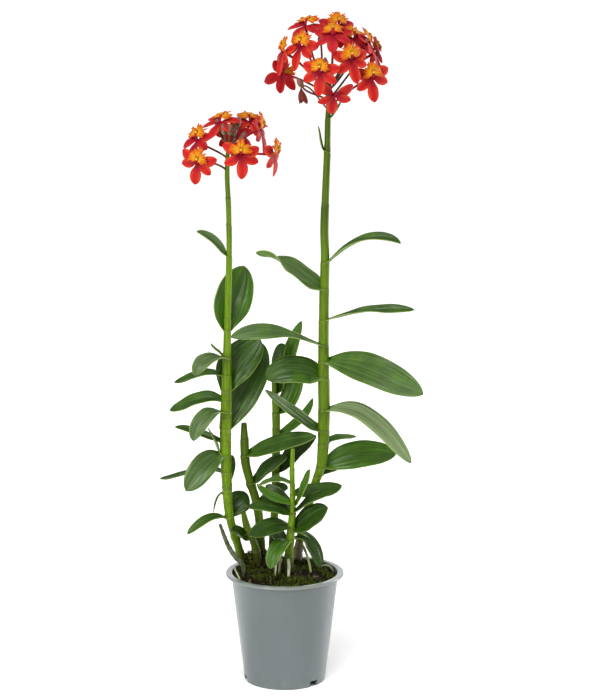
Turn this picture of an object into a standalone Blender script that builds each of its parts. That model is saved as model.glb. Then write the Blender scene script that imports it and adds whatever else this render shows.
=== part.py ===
"""An epidendrum orchid in its grower's pot: canes, leaves, flowers, growing medium and pot.

The origin is on the ground on the pot's axis. +Z is up and -Y is the front.
"""
import math

import bmesh
import bpy
from mathutils import Vector

MM = 0.001
NAME = "epidendrum_orchid"
GAP = 0.3 * MM

# Pot
POT_HEIGHT = 112.5 * MM
POT_RIM_RADIUS = 60.0 * MM
POT_NECK_RADIUS = 54.6 * MM
POT_FOOT_RADIUS = 41.2 * MM
POT_WALL = 1.5 * MM
POT_LIP_HEIGHT = 2.6 * MM
POT_FOOT_RECESS = 6.4 * MM
POT_FOOT_RING = 2.8 * MM
POT_STEPS = 40
NOTCH_WIDTH = 10.0 * MM
NOTCH_HEIGHT = 6.0 * MM
NOTCH_ANGLES = (45.0, -75.0, 165.0)
DRAIN_COUNT = 6
DRAIN_RADIUS = 4.0 * MM
DRAIN_CIRCLE = 24.0 * MM

# Growing medium
MEDIUM_EDGE_HEIGHT = 105.0 * MM
MEDIUM_CROWN_HEIGHT = 116.0 * MM
MEDIUM_RINGS = 5
MEDIUM_STEPS = 32
SOCKET_CLEARANCE = 0.8 * MM

# Canes: points up each one as (x, y, z, diameter), in millimetres
CANES = {
    "left_cane": (
        (-43, 15, 92, 8.0), (-43, 15, 104, 8.0), (-43, 15, 117, 8.0), (-47, 14, 132, 8.2),
        (-56, 8, 168, 8.6), (-58.5, 4, 202, 9.8), (-59.5, 0, 249, 11.0), (-58.3, 0, 294, 10.6),
        (-57.2, 0, 352, 7.2), (-56.2, 0, 388, 6.4), (-54.6, 0, 442, 5.2), (-55.1, 0, 487, 4.8),
        (-56.2, 0, 512, 4.6), (-56.0, 0, 530, 4.0), (-55.0, 0, 546, 2.8),
    ),
    "right_cane": (
        (12, 19, 94, 7.4), (12, 19, 106, 7.4), (12.6, 19, 120, 7.6), (16.5, 17, 147, 7.8),
        (30.5, 12, 200, 8.4), (37.6, 10, 224, 10.2), (39.6, 6, 275, 11.6), (39.2, 3, 330, 10.7),
        (39.3, 0, 385, 9.3), (40.3, 0, 436, 8.2), (39.6, 0, 462, 7.8), (40.5, 0, 492, 7.2),
        (42.3, 0, 538, 6.0), (42.8, 0, 572, 5.0), (43.6, 0, 590, 4.0), (44.4, 0, 606, 2.8),
    ),
    "middle_cane": (
        (-24, 22, 94, 8.0), (-24, 22, 106, 8.0), (-24, 22, 119, 8.0), (-26.5, 24, 162, 8.6),
        (-30.5, 24, 184, 8.6), (-35.5, 22, 201, 8.6), (-40, 20, 221, 8.6), (-41, 18, 245, 8.0),
        (-41.3, 18, 263, 5.0),
    ),
    "short_cane": (
        (-27, 6, 94, 7.8), (-27, 6, 106, 7.8), (-27.4, 6, 120, 8.0), (-30.5, 5, 138, 8.0),
        (-34.5, 4, 149, 8.0), (-38.5, 3, 159, 7.6), (-42, 1, 174, 4.6),
    ),
    "back_cane": (
        (-13.5, 38, 92, 7.6), (-13.5, 38, 104, 7.6), (-13.5, 38, 117, 7.6), (-10, 38, 180, 7.7),
        (-9, 36, 243, 7.7), (-9, 36, 268, 7.6), (-11, 36, 304, 5.0),
    ),
    "young_cane": (
        (4.4, -14, 96, 8.2), (4.4, -14, 108, 8.2), (4.4, -14, 120, 8.4), (4.6, -14, 140, 8.4),
        (6, -15, 156, 8.0), (7.4, -16, 172, 6.6), (8.3, -16, 183, 5.4), (7.5, -16, 223, 4.6),
        (8.3, -16, 244, 3.4),
    ),
}
CANE_SAMPLE_STEP = 16.0 * MM

# Leaves: cane, height of the joint and tip (x, y, z) in millimetres, width, then in degrees
# how steeply it leaves the cane, how it points at its tip, how far its face turns to the
# front at the base and at the tip, and how deeply it folds; last its width at the base as a
# share of the full width
LEAVES = {
    "left_leaf_01": ("left_cane", 436, (-86, -10, 462), 13, 48, 15, 30, 30, 35, 0.3),
    "left_leaf_02": ("left_cane", 362, (-41, 30, 422), 40, 84, 62, 45, 45, 14, 0.3),
    "left_leaf_03": ("left_cane", 333, (-87, -30, 321), 18, 20, -95, 10, 25, 20, 0.5),
    "left_leaf_04": ("left_cane", 301, (-25, 22, 349), 38, 86, 40, 50, 50, 12, 0.3),
    "left_leaf_05": ("left_cane", 262, (-23, 40, 341), 36, 62, 74, 45, 50, 14, 0.35),
    "left_leaf_06": ("left_cane", 316, (-112, 24, 304), 15, 8, -18, -20, 5, 22, 0.4),
    "left_leaf_07": ("left_cane", 290, (-116, 10, 278), 21, 15, -18, 25, 35, 18, 0.4),
    "left_leaf_08": ("left_cane", 278, (-90, -34, 256), 20, 25, -85, 10, 25, 20, 0.5),
    "left_leaf_09": ("left_cane", 234, (-98, -30, 204), 27, -12, -48, 45, 55, 16, 0.4),
    "left_leaf_10": ("left_cane", 216, (-130, 57, 196), 15, 0, -8, -15, -5, 22, 0.4),
    "left_leaf_11": ("left_cane", 166, (-98, -16, 156), 13, 28, -35, 15, 25, 20, 0.4),
    "right_leaf_01": ("right_cane", 430, (115, -8, 450), 17, 48, -35, 0, 25, 22, 0.4),
    "right_leaf_02": ("right_cane", 404, (-28, -8, 441), 25, 33, 12, 50, 20, 16, 0.75),
    "right_leaf_03": ("right_cane", 372, (129, -4, 383), 17, 18, -3, -5, 30, 20, 0.4),
    "right_leaf_04": ("right_cane", 346, (-53, -14, 357), 22, 24, -18, 0, 40, 16, 0.5),
    "right_leaf_05": ("right_cane", 330, (135.5, -57, 308), 34, 2, -18, 50, 55, 12, 0.3),
    "right_leaf_06": ("right_cane", 313, (-17, -2, 311), 31, 30, -50, 55, 55, 12, 0.7),
    "right_leaf_07": ("right_cane", 280, (126, -32, 233), 23, 18, -50, 30, 38, 16, 0.4),
    "right_leaf_08": ("right_cane", 258, (-19, -16, 304), 17, 36, 42, 50, 40, 18, 0.7),
    "right_leaf_09": ("right_cane", 219, (114, 28, 229), 30, 24, -8, 55, 60, 12, 0.3),
    "back_leaf_01": ("back_cane", 291, (17, 46, 363), 16, 66, 64, 50, 50, 16, 0.4),
    "back_leaf_02": ("back_cane", 270, (17, 40, 318), 21, 38, 64, 60, 60, 14, 0.4),
    "back_leaf_03": ("back_cane", 208, (32, 40, 245), 22, 50, 30, 40, 40, 16, 0.4),
    "middle_leaf_01": ("middle_cane", 230, (31, -4, 254), 22, 22, 10, 45, 48, 16, 0.5),
    "middle_leaf_02": ("middle_cane", 200, (2, 6, 230), 23, 50, 24, 40, 40, 16, 0.5),
    "young_leaf_01": ("young_cane", 185, (25, -34, 227), 15, 62, 68, 50, 75, 14, 0.4),
    "young_leaf_02": ("young_cane", 179, (43, -34, 201), 17, 40, 5, 25, 35, 18, 0.4),
    "young_leaf_03": ("young_cane", 197, (58, 14, 199), 20, -4, 8, 30, 45, 16, 0.4),
    "young_leaf_04": ("young_cane", 160, (43, -30, 187), 26, 40, 30, 55, 60, 14, 0.4),
    "young_leaf_05": ("young_cane", 177, (-36, -30, 187), 17, 22, -12, 30, 35, 18, 0.5),
    "young_leaf_06": ("young_cane", 164, (-35, -42, 162), 20, 18, -12, 35, 50, 16, 0.5),
    "young_leaf_07": ("young_cane", 149, (-14, -46, 128), 18, 5, -80, 10, 25, 18, 0.5),
    "young_leaf_08": ("young_cane", 151, (36, -8, 118), 11, 5, -70, 10, 10, 20, 0.5),
    "young_leaf_09": ("young_cane", 209, (-27, -30, 209), 15, 28, -22, 20, -10, 18, 0.5),
}
LEAF_THICKNESS = 1.3 * MM
LEAF_STATIONS = 9
LEAF_BASE_RUN = 0.32
LEAF_LAUNCH = 0.36

# Flowers: cane, height on it where the stalk starts, centre (x, y, z) in millimetres, the
# way the flower faces (turn from the front towards +X, then tilt up) and its roll in degrees
FLOWERS = {
    "right_flower_01": ("right_cane", 588, (34.8, -38, 618.2), -12, 8, 0),
    "right_flower_02": ("right_cane", 604, (47.4, -20, 653.2), 0, 46, 4),
    "right_flower_03": ("right_cane", 600, (64.6, -26, 630.3), 22, 12, 8),
    "right_flower_04": ("right_cane", 602, (16.3, -12, 642.1), -34, 20, -10),
    "right_flower_05": ("right_cane", 605, (20.8, 14, 661.6), -28, 66, -8),
    "right_flower_06": ("right_cane", 598, (-0.5, 2, 636.1), -70, 22, 0),
    "right_flower_07": ("right_cane", 594, (-1.7, 20, 614.1), -150, 0, 75),
    "right_flower_08": ("right_cane", 576, (48.5, -18, 595.9), 12, -25, 0),
    "right_flower_09": ("right_cane", 584, (85.6, -10, 612.0), 22, 4, 8),
    "right_flower_10": ("right_cane", 601, (82.5, 6, 644.7), 80, 30, 0),
    "right_flower_11": ("right_cane", 592, (90.0, 26, 634.0), 112, 14, 0),
    "left_flower_01": ("left_cane", 528, (-42.0, -28, 538.3), 4, 4, 0),
    "left_flower_02": ("left_cane", 522, (-84.6, -20, 530.4), -18, -8, -15),
    "left_flower_03": ("left_cane", 534, (-85.5, -2, 550.8), -40, 34, 0),
    "left_flower_04": ("left_cane", 545, (-63.0, 4, 568.0), -35, 62, 0),
    "left_flower_05": ("left_cane", 543, (-34.3, 26, 566.6), 25, 64, 0),
    "left_flower_06": ("left_cane", 538, (-23.7, -4, 561.0), 78, 10, 0),
    "left_flower_07": ("left_cane", 530, (-9.8, -16, 538.2), 70, 0, 6),
}
STALK_DIAMETER = 2.0 * MM
STALK_STATIONS = 4
HUB_RADIUS = 2.2 * MM
TEPAL_ANGLES = (270.0, 205.0, 335.0, 152.0, 20.0)
TEPAL_LENGTHS = (23.0, 18.5, 18.5, 20.5, 20.5)
TEPAL_WIDTHS = (10.5, 9.5, 9.5, 10.5, 10.5)
TEPAL_THICKNESS = 1.2 * MM
COLUMN_LENGTH = 9.0 * MM
COLUMN_RISE = 48.0
LIP_OUTLINE = ((-2.5, -1), (2.5, -1), (11, 1.5), (12, 6), (4.5, 7.5), (4, 13), (-4, 13),
               (-4.5, 7.5), (-12, 6), (-11, 1.5))
LIP_THICKNESS = 1.0 * MM


def clear_scene():
    """Remove everything a new Blender scene starts with."""
    for item in list(bpy.data.objects):
        bpy.data.objects.remove(item, do_unlink=True)


def new_collection(name):
    """Make a collection under the scene's own."""
    made = bpy.data.collections.new(name)
    bpy.context.scene.collection.children.link(made)
    return made


def material(name, color, roughness, metallic=0.0):
    """Make a Principled material."""
    made = bpy.data.materials.new(name)
    made.use_nodes = True
    shader = made.node_tree.nodes["Principled BSDF"]
    shader.inputs["Base Color"].default_value = (*color, 1.0)
    shader.inputs["Roughness"].default_value = roughness
    shader.inputs["Metallic"].default_value = metallic
    made.diffuse_color = (*color, 1.0)
    return made


def mesh_object(name, mesh, collection, surface=None):
    """Put a mesh in a collection as an object."""
    made = bpy.data.objects.new(name, mesh)
    collection.objects.link(made)
    if surface:
        mesh.materials.append(surface)
    return made


def smooth(item):
    """Shade a piece smooth, with its sharp corners kept."""
    item.data.shade_smooth()
    item.data.set_sharp_from_angle(angle=math.radians(40))


def evaluated_mesh(item):
    """Return a new mesh of an object with its modifiers and bevel applied."""
    bpy.context.view_layer.update()
    graph = bpy.context.evaluated_depsgraph_get()
    return bpy.data.meshes.new_from_object(item.evaluated_get(graph))


def apply_boolean(item, cutter, operation):
    """Join a solid to another or cut it away, and keep the result as plain mesh."""
    change = item.modifiers.new(operation.lower(), "BOOLEAN")
    change.operation = operation
    change.object = cutter
    surfaces = list(item.data.materials)
    result = evaluated_mesh(item)
    item.modifiers.clear()
    item.data = result
    if not result.materials:
        for surface in surfaces:
            result.materials.append(surface)
    bpy.data.objects.remove(cutter, do_unlink=True)


def loft(name, rings, collection, surface=None):
    """Skin a row of rings; a ring of one point closes that end to a tip."""
    shape = bmesh.new()
    rows = [[shape.verts.new(point) for point in ring] for ring in rings]
    for low, high in zip(rows, rows[1:]):
        count = max(len(low), len(high))
        for i in range(count):
            j = (i + 1) % count
            if len(high) == 1:
                shape.faces.new((low[i], low[j], high[0]))
            elif len(low) == 1:
                shape.faces.new((low[0], high[j], high[i]))
            else:
                shape.faces.new((low[i], low[j], high[j], high[i]))
    for end in (rows[0], rows[-1]):
        if len(end) > 2:
            shape.faces.new(end)
    bmesh.ops.triangulate(shape, faces=shape.faces)
    bmesh.ops.recalc_face_normals(shape, faces=shape.faces)
    mesh = bpy.data.meshes.new(name)
    shape.to_mesh(mesh)
    shape.free()
    return mesh_object(name, mesh, collection, surface)


def hermite(start, end, start_slope, end_slope, t):
    """Point on a cubic with the given ends and slopes."""
    return (start * (2 * t**3 - 3 * t**2 + 1) + start_slope * (t**3 - 2 * t**2 + t)
            + end * (3 * t**2 - 2 * t**3) + end_slope * (t**3 - t**2))


def smoothstep(low, high, value):
    """Rise from 0 to 1 between two values."""
    share = min(max((value - low) / (high - low), 0.0), 1.0)
    return share * share * (3 - 2 * share)


def cane_point(cane, height):
    """Centre and radius of a cane at a height in millimetres."""
    rows = [Vector(row) for row in CANES[cane]]
    last = len(rows) - 2
    k = max(i for i in range(last + 1) if rows[i].z <= height or i == 0)
    before, low = rows[max(k - 1, 0)], rows[k]
    high, after = rows[k + 1], rows[min(k + 2, last + 1)]
    t = min((height - low.z) / (high.z - low.z), 1.0)
    span = high.z - low.z
    low_slope = (high - before) * span / (high.z - before.z)
    high_slope = (after - low) * span / (after.z - low.z)
    x, y, _, diameter = hermite(low, high, low_slope, high_slope, t)
    return Vector((x, y, height)) * MM, diameter * MM / 2


def pot_inner_radius(height):
    """Radius inside the pot's tapered wall at a height."""
    share = height / (POT_HEIGHT - POT_LIP_HEIGHT)
    return POT_FOOT_RADIUS + (POT_NECK_RADIUS - POT_FOOT_RADIUS) * share - POT_WALL


def medium_height(radius):
    """Height of the growing medium's mound at a distance from the pot's axis."""
    edge = pot_inner_radius(MEDIUM_EDGE_HEIGHT) - GAP
    crown = MEDIUM_CROWN_HEIGHT - MEDIUM_EDGE_HEIGHT
    return MEDIUM_EDGE_HEIGHT + crown * (1 - (radius / edge) ** 2)


def turned(name, profile, steps, collection, surface):
    """Turn a profile of (radius, height) points about the vertical axis."""
    mesh = bpy.data.meshes.new(name)
    edges = [(i, i + 1) for i in range(len(profile) - 1)]
    mesh.from_pydata([(radius, 0.0, height) for radius, height in profile], edges, [])
    made = mesh_object(name, mesh, collection, surface)
    screw = made.modifiers.new("turn", "SCREW")
    screw.steps = steps
    screw.render_steps = steps
    screw.use_merge_vertices = True
    screw.merge_threshold = 0.1 * MM
    return made


def cylinder_cutter(name, radius, low, high, place, sides, collection):
    """Make a hidden upright cylinder that cuts another piece."""
    shape = bmesh.new()
    bmesh.ops.create_cone(shape, cap_ends=True, segments=sides, radius1=radius, radius2=radius,
                          depth=high - low)
    mesh = bpy.data.meshes.new(name)
    shape.to_mesh(mesh)
    shape.free()
    made = mesh_object(name, mesh, collection)
    made.location = (place[0], place[1], (low + high) / 2)
    return made


def notch_cutter(angle, collection):
    """Make a hidden block that cuts a drain notch in the pot's foot."""
    shape = bmesh.new()
    bmesh.ops.create_cube(shape, size=1.0)
    depth = 4 * POT_FOOT_RING
    for vertex in shape.verts:
        vertex.co.x *= NOTCH_WIDTH
        vertex.co.y *= depth
        vertex.co.z *= 2 * NOTCH_HEIGHT
    mesh = bpy.data.meshes.new("notch_cutter")
    shape.to_mesh(mesh)
    shape.free()
    made = mesh_object("notch_cutter", mesh, collection)
    turn = math.radians(angle)
    reach = POT_FOOT_RADIUS
    made.rotation_euler.z = turn
    made.location = (math.sin(turn) * reach, -math.cos(turn) * reach, 0.0)
    return made


def build_pot(collection, cutters, surface):
    """Thin moulded pot: turned-over lip, tapered wall, raised floor and notched foot ring."""
    wall_top = POT_HEIGHT - POT_LIP_HEIGHT
    floor = POT_FOOT_RECESS + POT_WALL
    inside = pot_inner_radius(POT_HEIGHT)
    profile = (
        (0.0, floor), (pot_inner_radius(floor), floor), (inside, POT_HEIGHT - 0.8 * MM),
        (inside + 0.8 * MM, POT_HEIGHT), (POT_RIM_RADIUS - 0.8 * MM, POT_HEIGHT),
        (POT_RIM_RADIUS, POT_HEIGHT - 0.8 * MM), (POT_RIM_RADIUS, wall_top),
        (POT_RIM_RADIUS - 1.2 * MM, wall_top), (POT_RIM_RADIUS - 1.2 * MM, POT_HEIGHT - 1.4 * MM),
        (POT_NECK_RADIUS, POT_HEIGHT - 1.4 * MM), (POT_FOOT_RADIUS, 0.0),
        (POT_FOOT_RADIUS - POT_FOOT_RING, 0.0),
        (POT_FOOT_RADIUS - POT_FOOT_RING, POT_FOOT_RECESS), (0.0, POT_FOOT_RECESS),
    )
    pot = turned("pot", profile, POT_STEPS, collection, surface)
    pot.data = evaluated_mesh(pot)
    pot.modifiers.clear()
    for angle in NOTCH_ANGLES:
        apply_boolean(pot, notch_cutter(angle, cutters), "DIFFERENCE")
    for i in range(DRAIN_COUNT):
        turn = math.tau * i / DRAIN_COUNT
        place = (DRAIN_CIRCLE * math.cos(turn), DRAIN_CIRCLE * math.sin(turn))
        hole = cylinder_cutter("drain_cutter", DRAIN_RADIUS, POT_FOOT_RECESS - 2 * MM,
                               floor + 2 * MM, place, 10, cutters)
        apply_boolean(pot, hole, "DIFFERENCE")
    smooth(pot)


def build_medium(collection, cutters, surface):
    """Mound of growing medium that fills the pot, with a socket for each cane."""
    floor = POT_FOOT_RECESS + POT_WALL + GAP
    edge = pot_inner_radius(MEDIUM_EDGE_HEIGHT) - GAP
    rings = [edge * i / MEDIUM_RINGS for i in range(MEDIUM_RINGS + 1)]
    profile = [(radius, medium_height(radius)) for radius in rings]
    profile += [(pot_inner_radius(floor) - GAP, floor), (0.0, floor)]
    medium = turned("growing_medium", profile, MEDIUM_STEPS, collection, surface)
    medium.data = evaluated_mesh(medium)
    medium.modifiers.clear()
    for points in CANES.values():
        x, y, foot, diameter = points[0]
        radius = diameter * MM / 2 + SOCKET_CLEARANCE
        socket = cylinder_cutter("socket_cutter", radius, foot * MM - GAP, 1.3 * POT_HEIGHT,
                                 (x * MM, y * MM), 12, cutters)
        apply_boolean(medium, socket, "DIFFERENCE")
    smooth(medium)


def build_cane(name, collection, surface):
    """Upright reed-like cane, drawn as a tube of changing thickness."""
    low = CANES[name][0][2]
    high = CANES[name][-1][2]
    count = round((high - low) * MM / CANE_SAMPLE_STEP) + 2
    curve = bpy.data.curves.new(name, "CURVE")
    curve.dimensions = "3D"
    curve.bevel_depth = 1.0
    curve.bevel_resolution = 2
    curve.use_fill_caps = True
    spline = curve.splines.new("POLY")
    spline.points.add(count - 1)
    for i, point in enumerate(spline.points):
        centre, radius = cane_point(name, low + (high - low) * i / (count - 1))
        point.co = (*centre, 1.0)
        point.radius = radius
    made = bpy.data.objects.new(name, curve)
    curve.materials.append(surface)
    collection.objects.link(made)


def leaf_half_width(t, base_share):
    """Share of the half width along a leaf, from its clasping base to its pointed tip."""
    base = base_share + (1 - base_share) * smoothstep(0.0, LEAF_BASE_RUN, t)
    tip = max(0.0, 1 - max(0.0, (t - 0.45) / 0.55) ** 2.4) ** 0.62
    return base * tip


def heading_frame(start, end):
    """Level heading from one point to another, and the level direction across it."""
    heading = Vector((end.x - start.x, end.y - start.y, 0.0)).normalized()
    return heading, Vector((heading.y, -heading.x, 0.0))


def pitched(heading, degrees):
    """Turn a level heading up by an angle."""
    angle = math.radians(degrees)
    return heading * math.cos(angle) + Vector((0.0, 0.0, math.sin(angle)))


def blade_frame(heading, across, ahead, tilt):
    """Directions out to the blade's edge and up from its face, turned about its midrib."""
    up = across.cross(ahead)
    turn = math.radians(tilt) * (1 if heading.x < 0 else -1)
    return (across * math.cos(turn) + up * math.sin(turn),
            up * math.cos(turn) - across * math.sin(turn))


def build_leaf(name, collection, surface):
    """Leathery leaf: a thin blade folded along its midrib, on a curved centreline."""
    cane, joint, tip, width, rise, dip, base_tilt, tip_tilt, fold, base_share = LEAVES[name]
    tip = Vector(tip) * MM
    half = width * MM / 2
    fold = math.radians(fold)
    centre, radius = cane_point(cane, joint)
    heading, across = heading_frame(centre, tip)
    launch = pitched(heading, rise)
    _, face = blade_frame(heading, across, launch, base_tilt)
    seat = Vector((launch.x - face.x, launch.y - face.y, 0.0)).normalized()
    clearance = GAP + LEAF_THICKNESS / 2 + half * base_share * math.sin(fold)
    start = centre + seat * (radius + clearance)
    reach = (tip - start).length * 3 * LEAF_LAUNCH
    slopes = launch * reach, pitched(heading, dip) * reach
    rings = [[centre + seat * (radius + GAP)]]
    for i in range(LEAF_STATIONS + 1):
        t = i / LEAF_STATIONS
        spot = hermite(start, tip, *slopes, t)
        ahead = (hermite(start, tip, *slopes, t + 0.001) - spot).normalized()
        out, face = blade_frame(heading, across, ahead, base_tilt + (tip_tilt - base_tilt) * t)
        reach = half * leaf_half_width(t, base_share)
        edge = out * reach * math.cos(fold)
        lift = face * reach * math.sin(fold)
        middle = face * LEAF_THICKNESS / 2
        rings.append([spot + edge + lift, spot + middle, spot - edge + lift, spot - middle])
    rings[-1] = [tip]
    smooth(loft(name, rings, collection, surface))


def build_stalk(name, start, end, leave, arrive, collection, surface):
    """Thin flower stalk from the cane to the back of the flower."""
    reach = (end - start).length
    radius = STALK_DIAMETER / 2
    rings = []
    for i in range(STALK_STATIONS + 1):
        t = i / STALK_STATIONS
        spot = hermite(start, end, leave * reach, arrive * reach, t)
        ahead = (hermite(start, end, leave * reach, arrive * reach, t + 0.001) - spot).normalized()
        side = ahead.orthogonal().normalized()
        other = ahead.cross(side)
        if rings:
            side = (last_side - ahead * last_side.dot(ahead)).normalized()
            other = ahead.cross(side)
        last_side = side
        rings.append([spot + (side * math.cos(a) + other * math.sin(a)) * radius
                      for a in (math.tau * k / 4 for k in range(4))])
    return loft(name, rings, collection, surface)


def build_tepal(centre, direction, face, length, width, collection):
    """One pointed sepal or petal, as a thin closed blade."""
    side = direction.cross(face)
    rings = []
    for t, share, lift in ((0.0, 0.3, 0.0), (0.5, 1.0, 0.05), (1.0, 0.0, -0.1)):
        spot = centre + direction * length * t + face * length * lift
        if share:
            reach = side * width * share / 2
            middle = face * TEPAL_THICKNESS / 2
            rings.append([spot + reach, spot + middle, spot - reach, spot - middle])
        else:
            rings.append([spot])
    return loft("tepal", rings, collection)


def build_lip(centre, across, upward, face, collection):
    """Three-lobed lip, cut from a flat outline."""
    curve = bpy.data.curves.new("lip", "CURVE")
    curve.dimensions = "2D"
    curve.fill_mode = "BOTH"
    curve.extrude = LIP_THICKNESS / 2
    spline = curve.splines.new("POLY")
    spline.points.add(len(LIP_OUTLINE) - 1)
    spline.use_cyclic_u = True
    for point, (x, y) in zip(spline.points, LIP_OUTLINE):
        point.co = (x * MM, y * MM, 0.0, 1.0)
    drawn = bpy.data.objects.new("lip", curve)
    collection.objects.link(drawn)
    mesh = evaluated_mesh(drawn)
    bpy.data.objects.remove(drawn, do_unlink=True)
    shape = bmesh.new()
    shape.from_mesh(mesh)
    bmesh.ops.remove_doubles(shape, verts=shape.verts, dist=0.01 * MM)
    for vertex in shape.verts:
        x, y, z = vertex.co
        vertex.co = centre + across * x + upward * y + face * z
    bmesh.ops.recalc_face_normals(shape, faces=shape.faces)
    shape.to_mesh(mesh)
    shape.free()
    return mesh_object("lip", mesh, collection)


def build_flower(name, collection, cutters, surface):
    """Flower with its stalk: five tepals, the column and the lip held uppermost."""
    cane, joint, centre, turn, lift, roll = FLOWERS[name]
    centre = Vector(centre) * MM
    root, radius = cane_point(cane, joint)
    turn, lift, roll = math.radians(turn), math.radians(lift), math.radians(roll)
    face = Vector((math.sin(turn) * math.cos(lift), -math.cos(turn) * math.cos(lift),
                   math.sin(lift)))
    across = Vector((math.cos(turn), math.sin(turn), 0.0))
    upward = across.cross(face) * -1
    across, upward = (across * math.cos(roll) + upward * math.sin(roll),
                      upward * math.cos(roll) - across * math.sin(roll))
    heading, _ = heading_frame(root, centre)
    start = root + heading * (radius + 0.85 * STALK_DIAMETER / 2 + GAP)
    flower = build_stalk(name, start, centre - face * HUB_RADIUS / 2, pitched(heading, 40), face,
                         collection, surface)
    hub = bmesh.new()
    bmesh.ops.create_icosphere(hub, subdivisions=1, radius=HUB_RADIUS)
    mesh = bpy.data.meshes.new("hub")
    hub.to_mesh(mesh)
    hub.free()
    ball = mesh_object("hub", mesh, cutters)
    ball.location = centre
    apply_boolean(flower, ball, "UNION")
    for angle, length, width in zip(TEPAL_ANGLES, TEPAL_LENGTHS, TEPAL_WIDTHS):
        angle = math.radians(angle)
        direction = across * math.cos(angle) + upward * math.sin(angle)
        tepal = build_tepal(centre, direction, face, length * MM, width * MM, cutters)
        apply_boolean(flower, tepal, "UNION")
    rise = math.radians(COLUMN_RISE)
    end = centre + (face * math.cos(rise) + upward * math.sin(rise)) * COLUMN_LENGTH
    axis = (end - centre).normalized()
    side = axis.orthogonal().normalized()
    other = axis.cross(side)
    rings = [[spot + (side * math.cos(a) + other * math.sin(a)) * reach
              for a in (math.tau * k / 5 for k in range(5))]
             for spot, reach in ((centre, 1.3 * MM), (end, 2.0 * MM))]
    apply_boolean(flower, loft("column", rings, cutters), "UNION")
    apply_boolean(flower, build_lip(end - axis * MM, across, upward, face, cutters), "UNION")
    smooth(flower)


def main():
    """Build every piece of the orchid."""
    clear_scene()
    pieces = new_collection(NAME)
    cutters = new_collection("cutters")
    grey_plastic = material("grey_plastic", (0.21, 0.25, 0.26), 0.38)
    bark = material("bark_and_moss", (0.045, 0.035, 0.02), 0.9)
    cane_green = material("cane_green", (0.26, 0.36, 0.09), 0.5)
    leaf_green = material("leaf_green", (0.045, 0.12, 0.025), 0.4)
    petal_red = material("petal_red", (0.62, 0.04, 0.02), 0.5)
    build_pot(pieces, cutters, grey_plastic)
    build_medium(pieces, cutters, bark)
    for name in CANES:
        build_cane(name, pieces, cane_green)
    for name in LEAVES:
        build_leaf(name, pieces, leaf_green)
    for name in FLOWERS:
        build_flower(name, pieces, cutters, petal_red)


main()
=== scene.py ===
"""Finished look of an epidendrum orchid in its pot, laid out as an add-on and run as a script."""
import math
import random
from collections import namedtuple

import bmesh
import bpy
from bpy.props import FloatProperty, FloatVectorProperty, IntProperty, PointerProperty
from mathutils import Matrix, Vector, noise


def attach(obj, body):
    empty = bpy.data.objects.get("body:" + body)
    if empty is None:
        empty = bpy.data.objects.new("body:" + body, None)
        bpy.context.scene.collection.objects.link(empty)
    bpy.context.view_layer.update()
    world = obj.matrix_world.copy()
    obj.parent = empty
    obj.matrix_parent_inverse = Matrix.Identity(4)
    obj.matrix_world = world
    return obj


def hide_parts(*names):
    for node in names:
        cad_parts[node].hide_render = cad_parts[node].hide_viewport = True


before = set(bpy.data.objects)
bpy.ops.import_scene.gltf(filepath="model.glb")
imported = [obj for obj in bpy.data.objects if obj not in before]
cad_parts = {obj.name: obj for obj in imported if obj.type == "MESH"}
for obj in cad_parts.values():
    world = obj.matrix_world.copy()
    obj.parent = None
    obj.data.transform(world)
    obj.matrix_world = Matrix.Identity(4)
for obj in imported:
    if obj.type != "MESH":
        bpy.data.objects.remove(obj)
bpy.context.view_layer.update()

bl_info = {
    "name": "Potted Epidendrum Orchid",
    "version": (1, 0, 0),
    "blender": (4, 5, 0),
    "location": "View3D > Sidebar > Orchid",
    "description": "Builds a reed-stemmed epidendrum orchid with its pot, piece by piece",
    "category": "Add Mesh",
}

MM = 0.001
BODY = "root"

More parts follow.
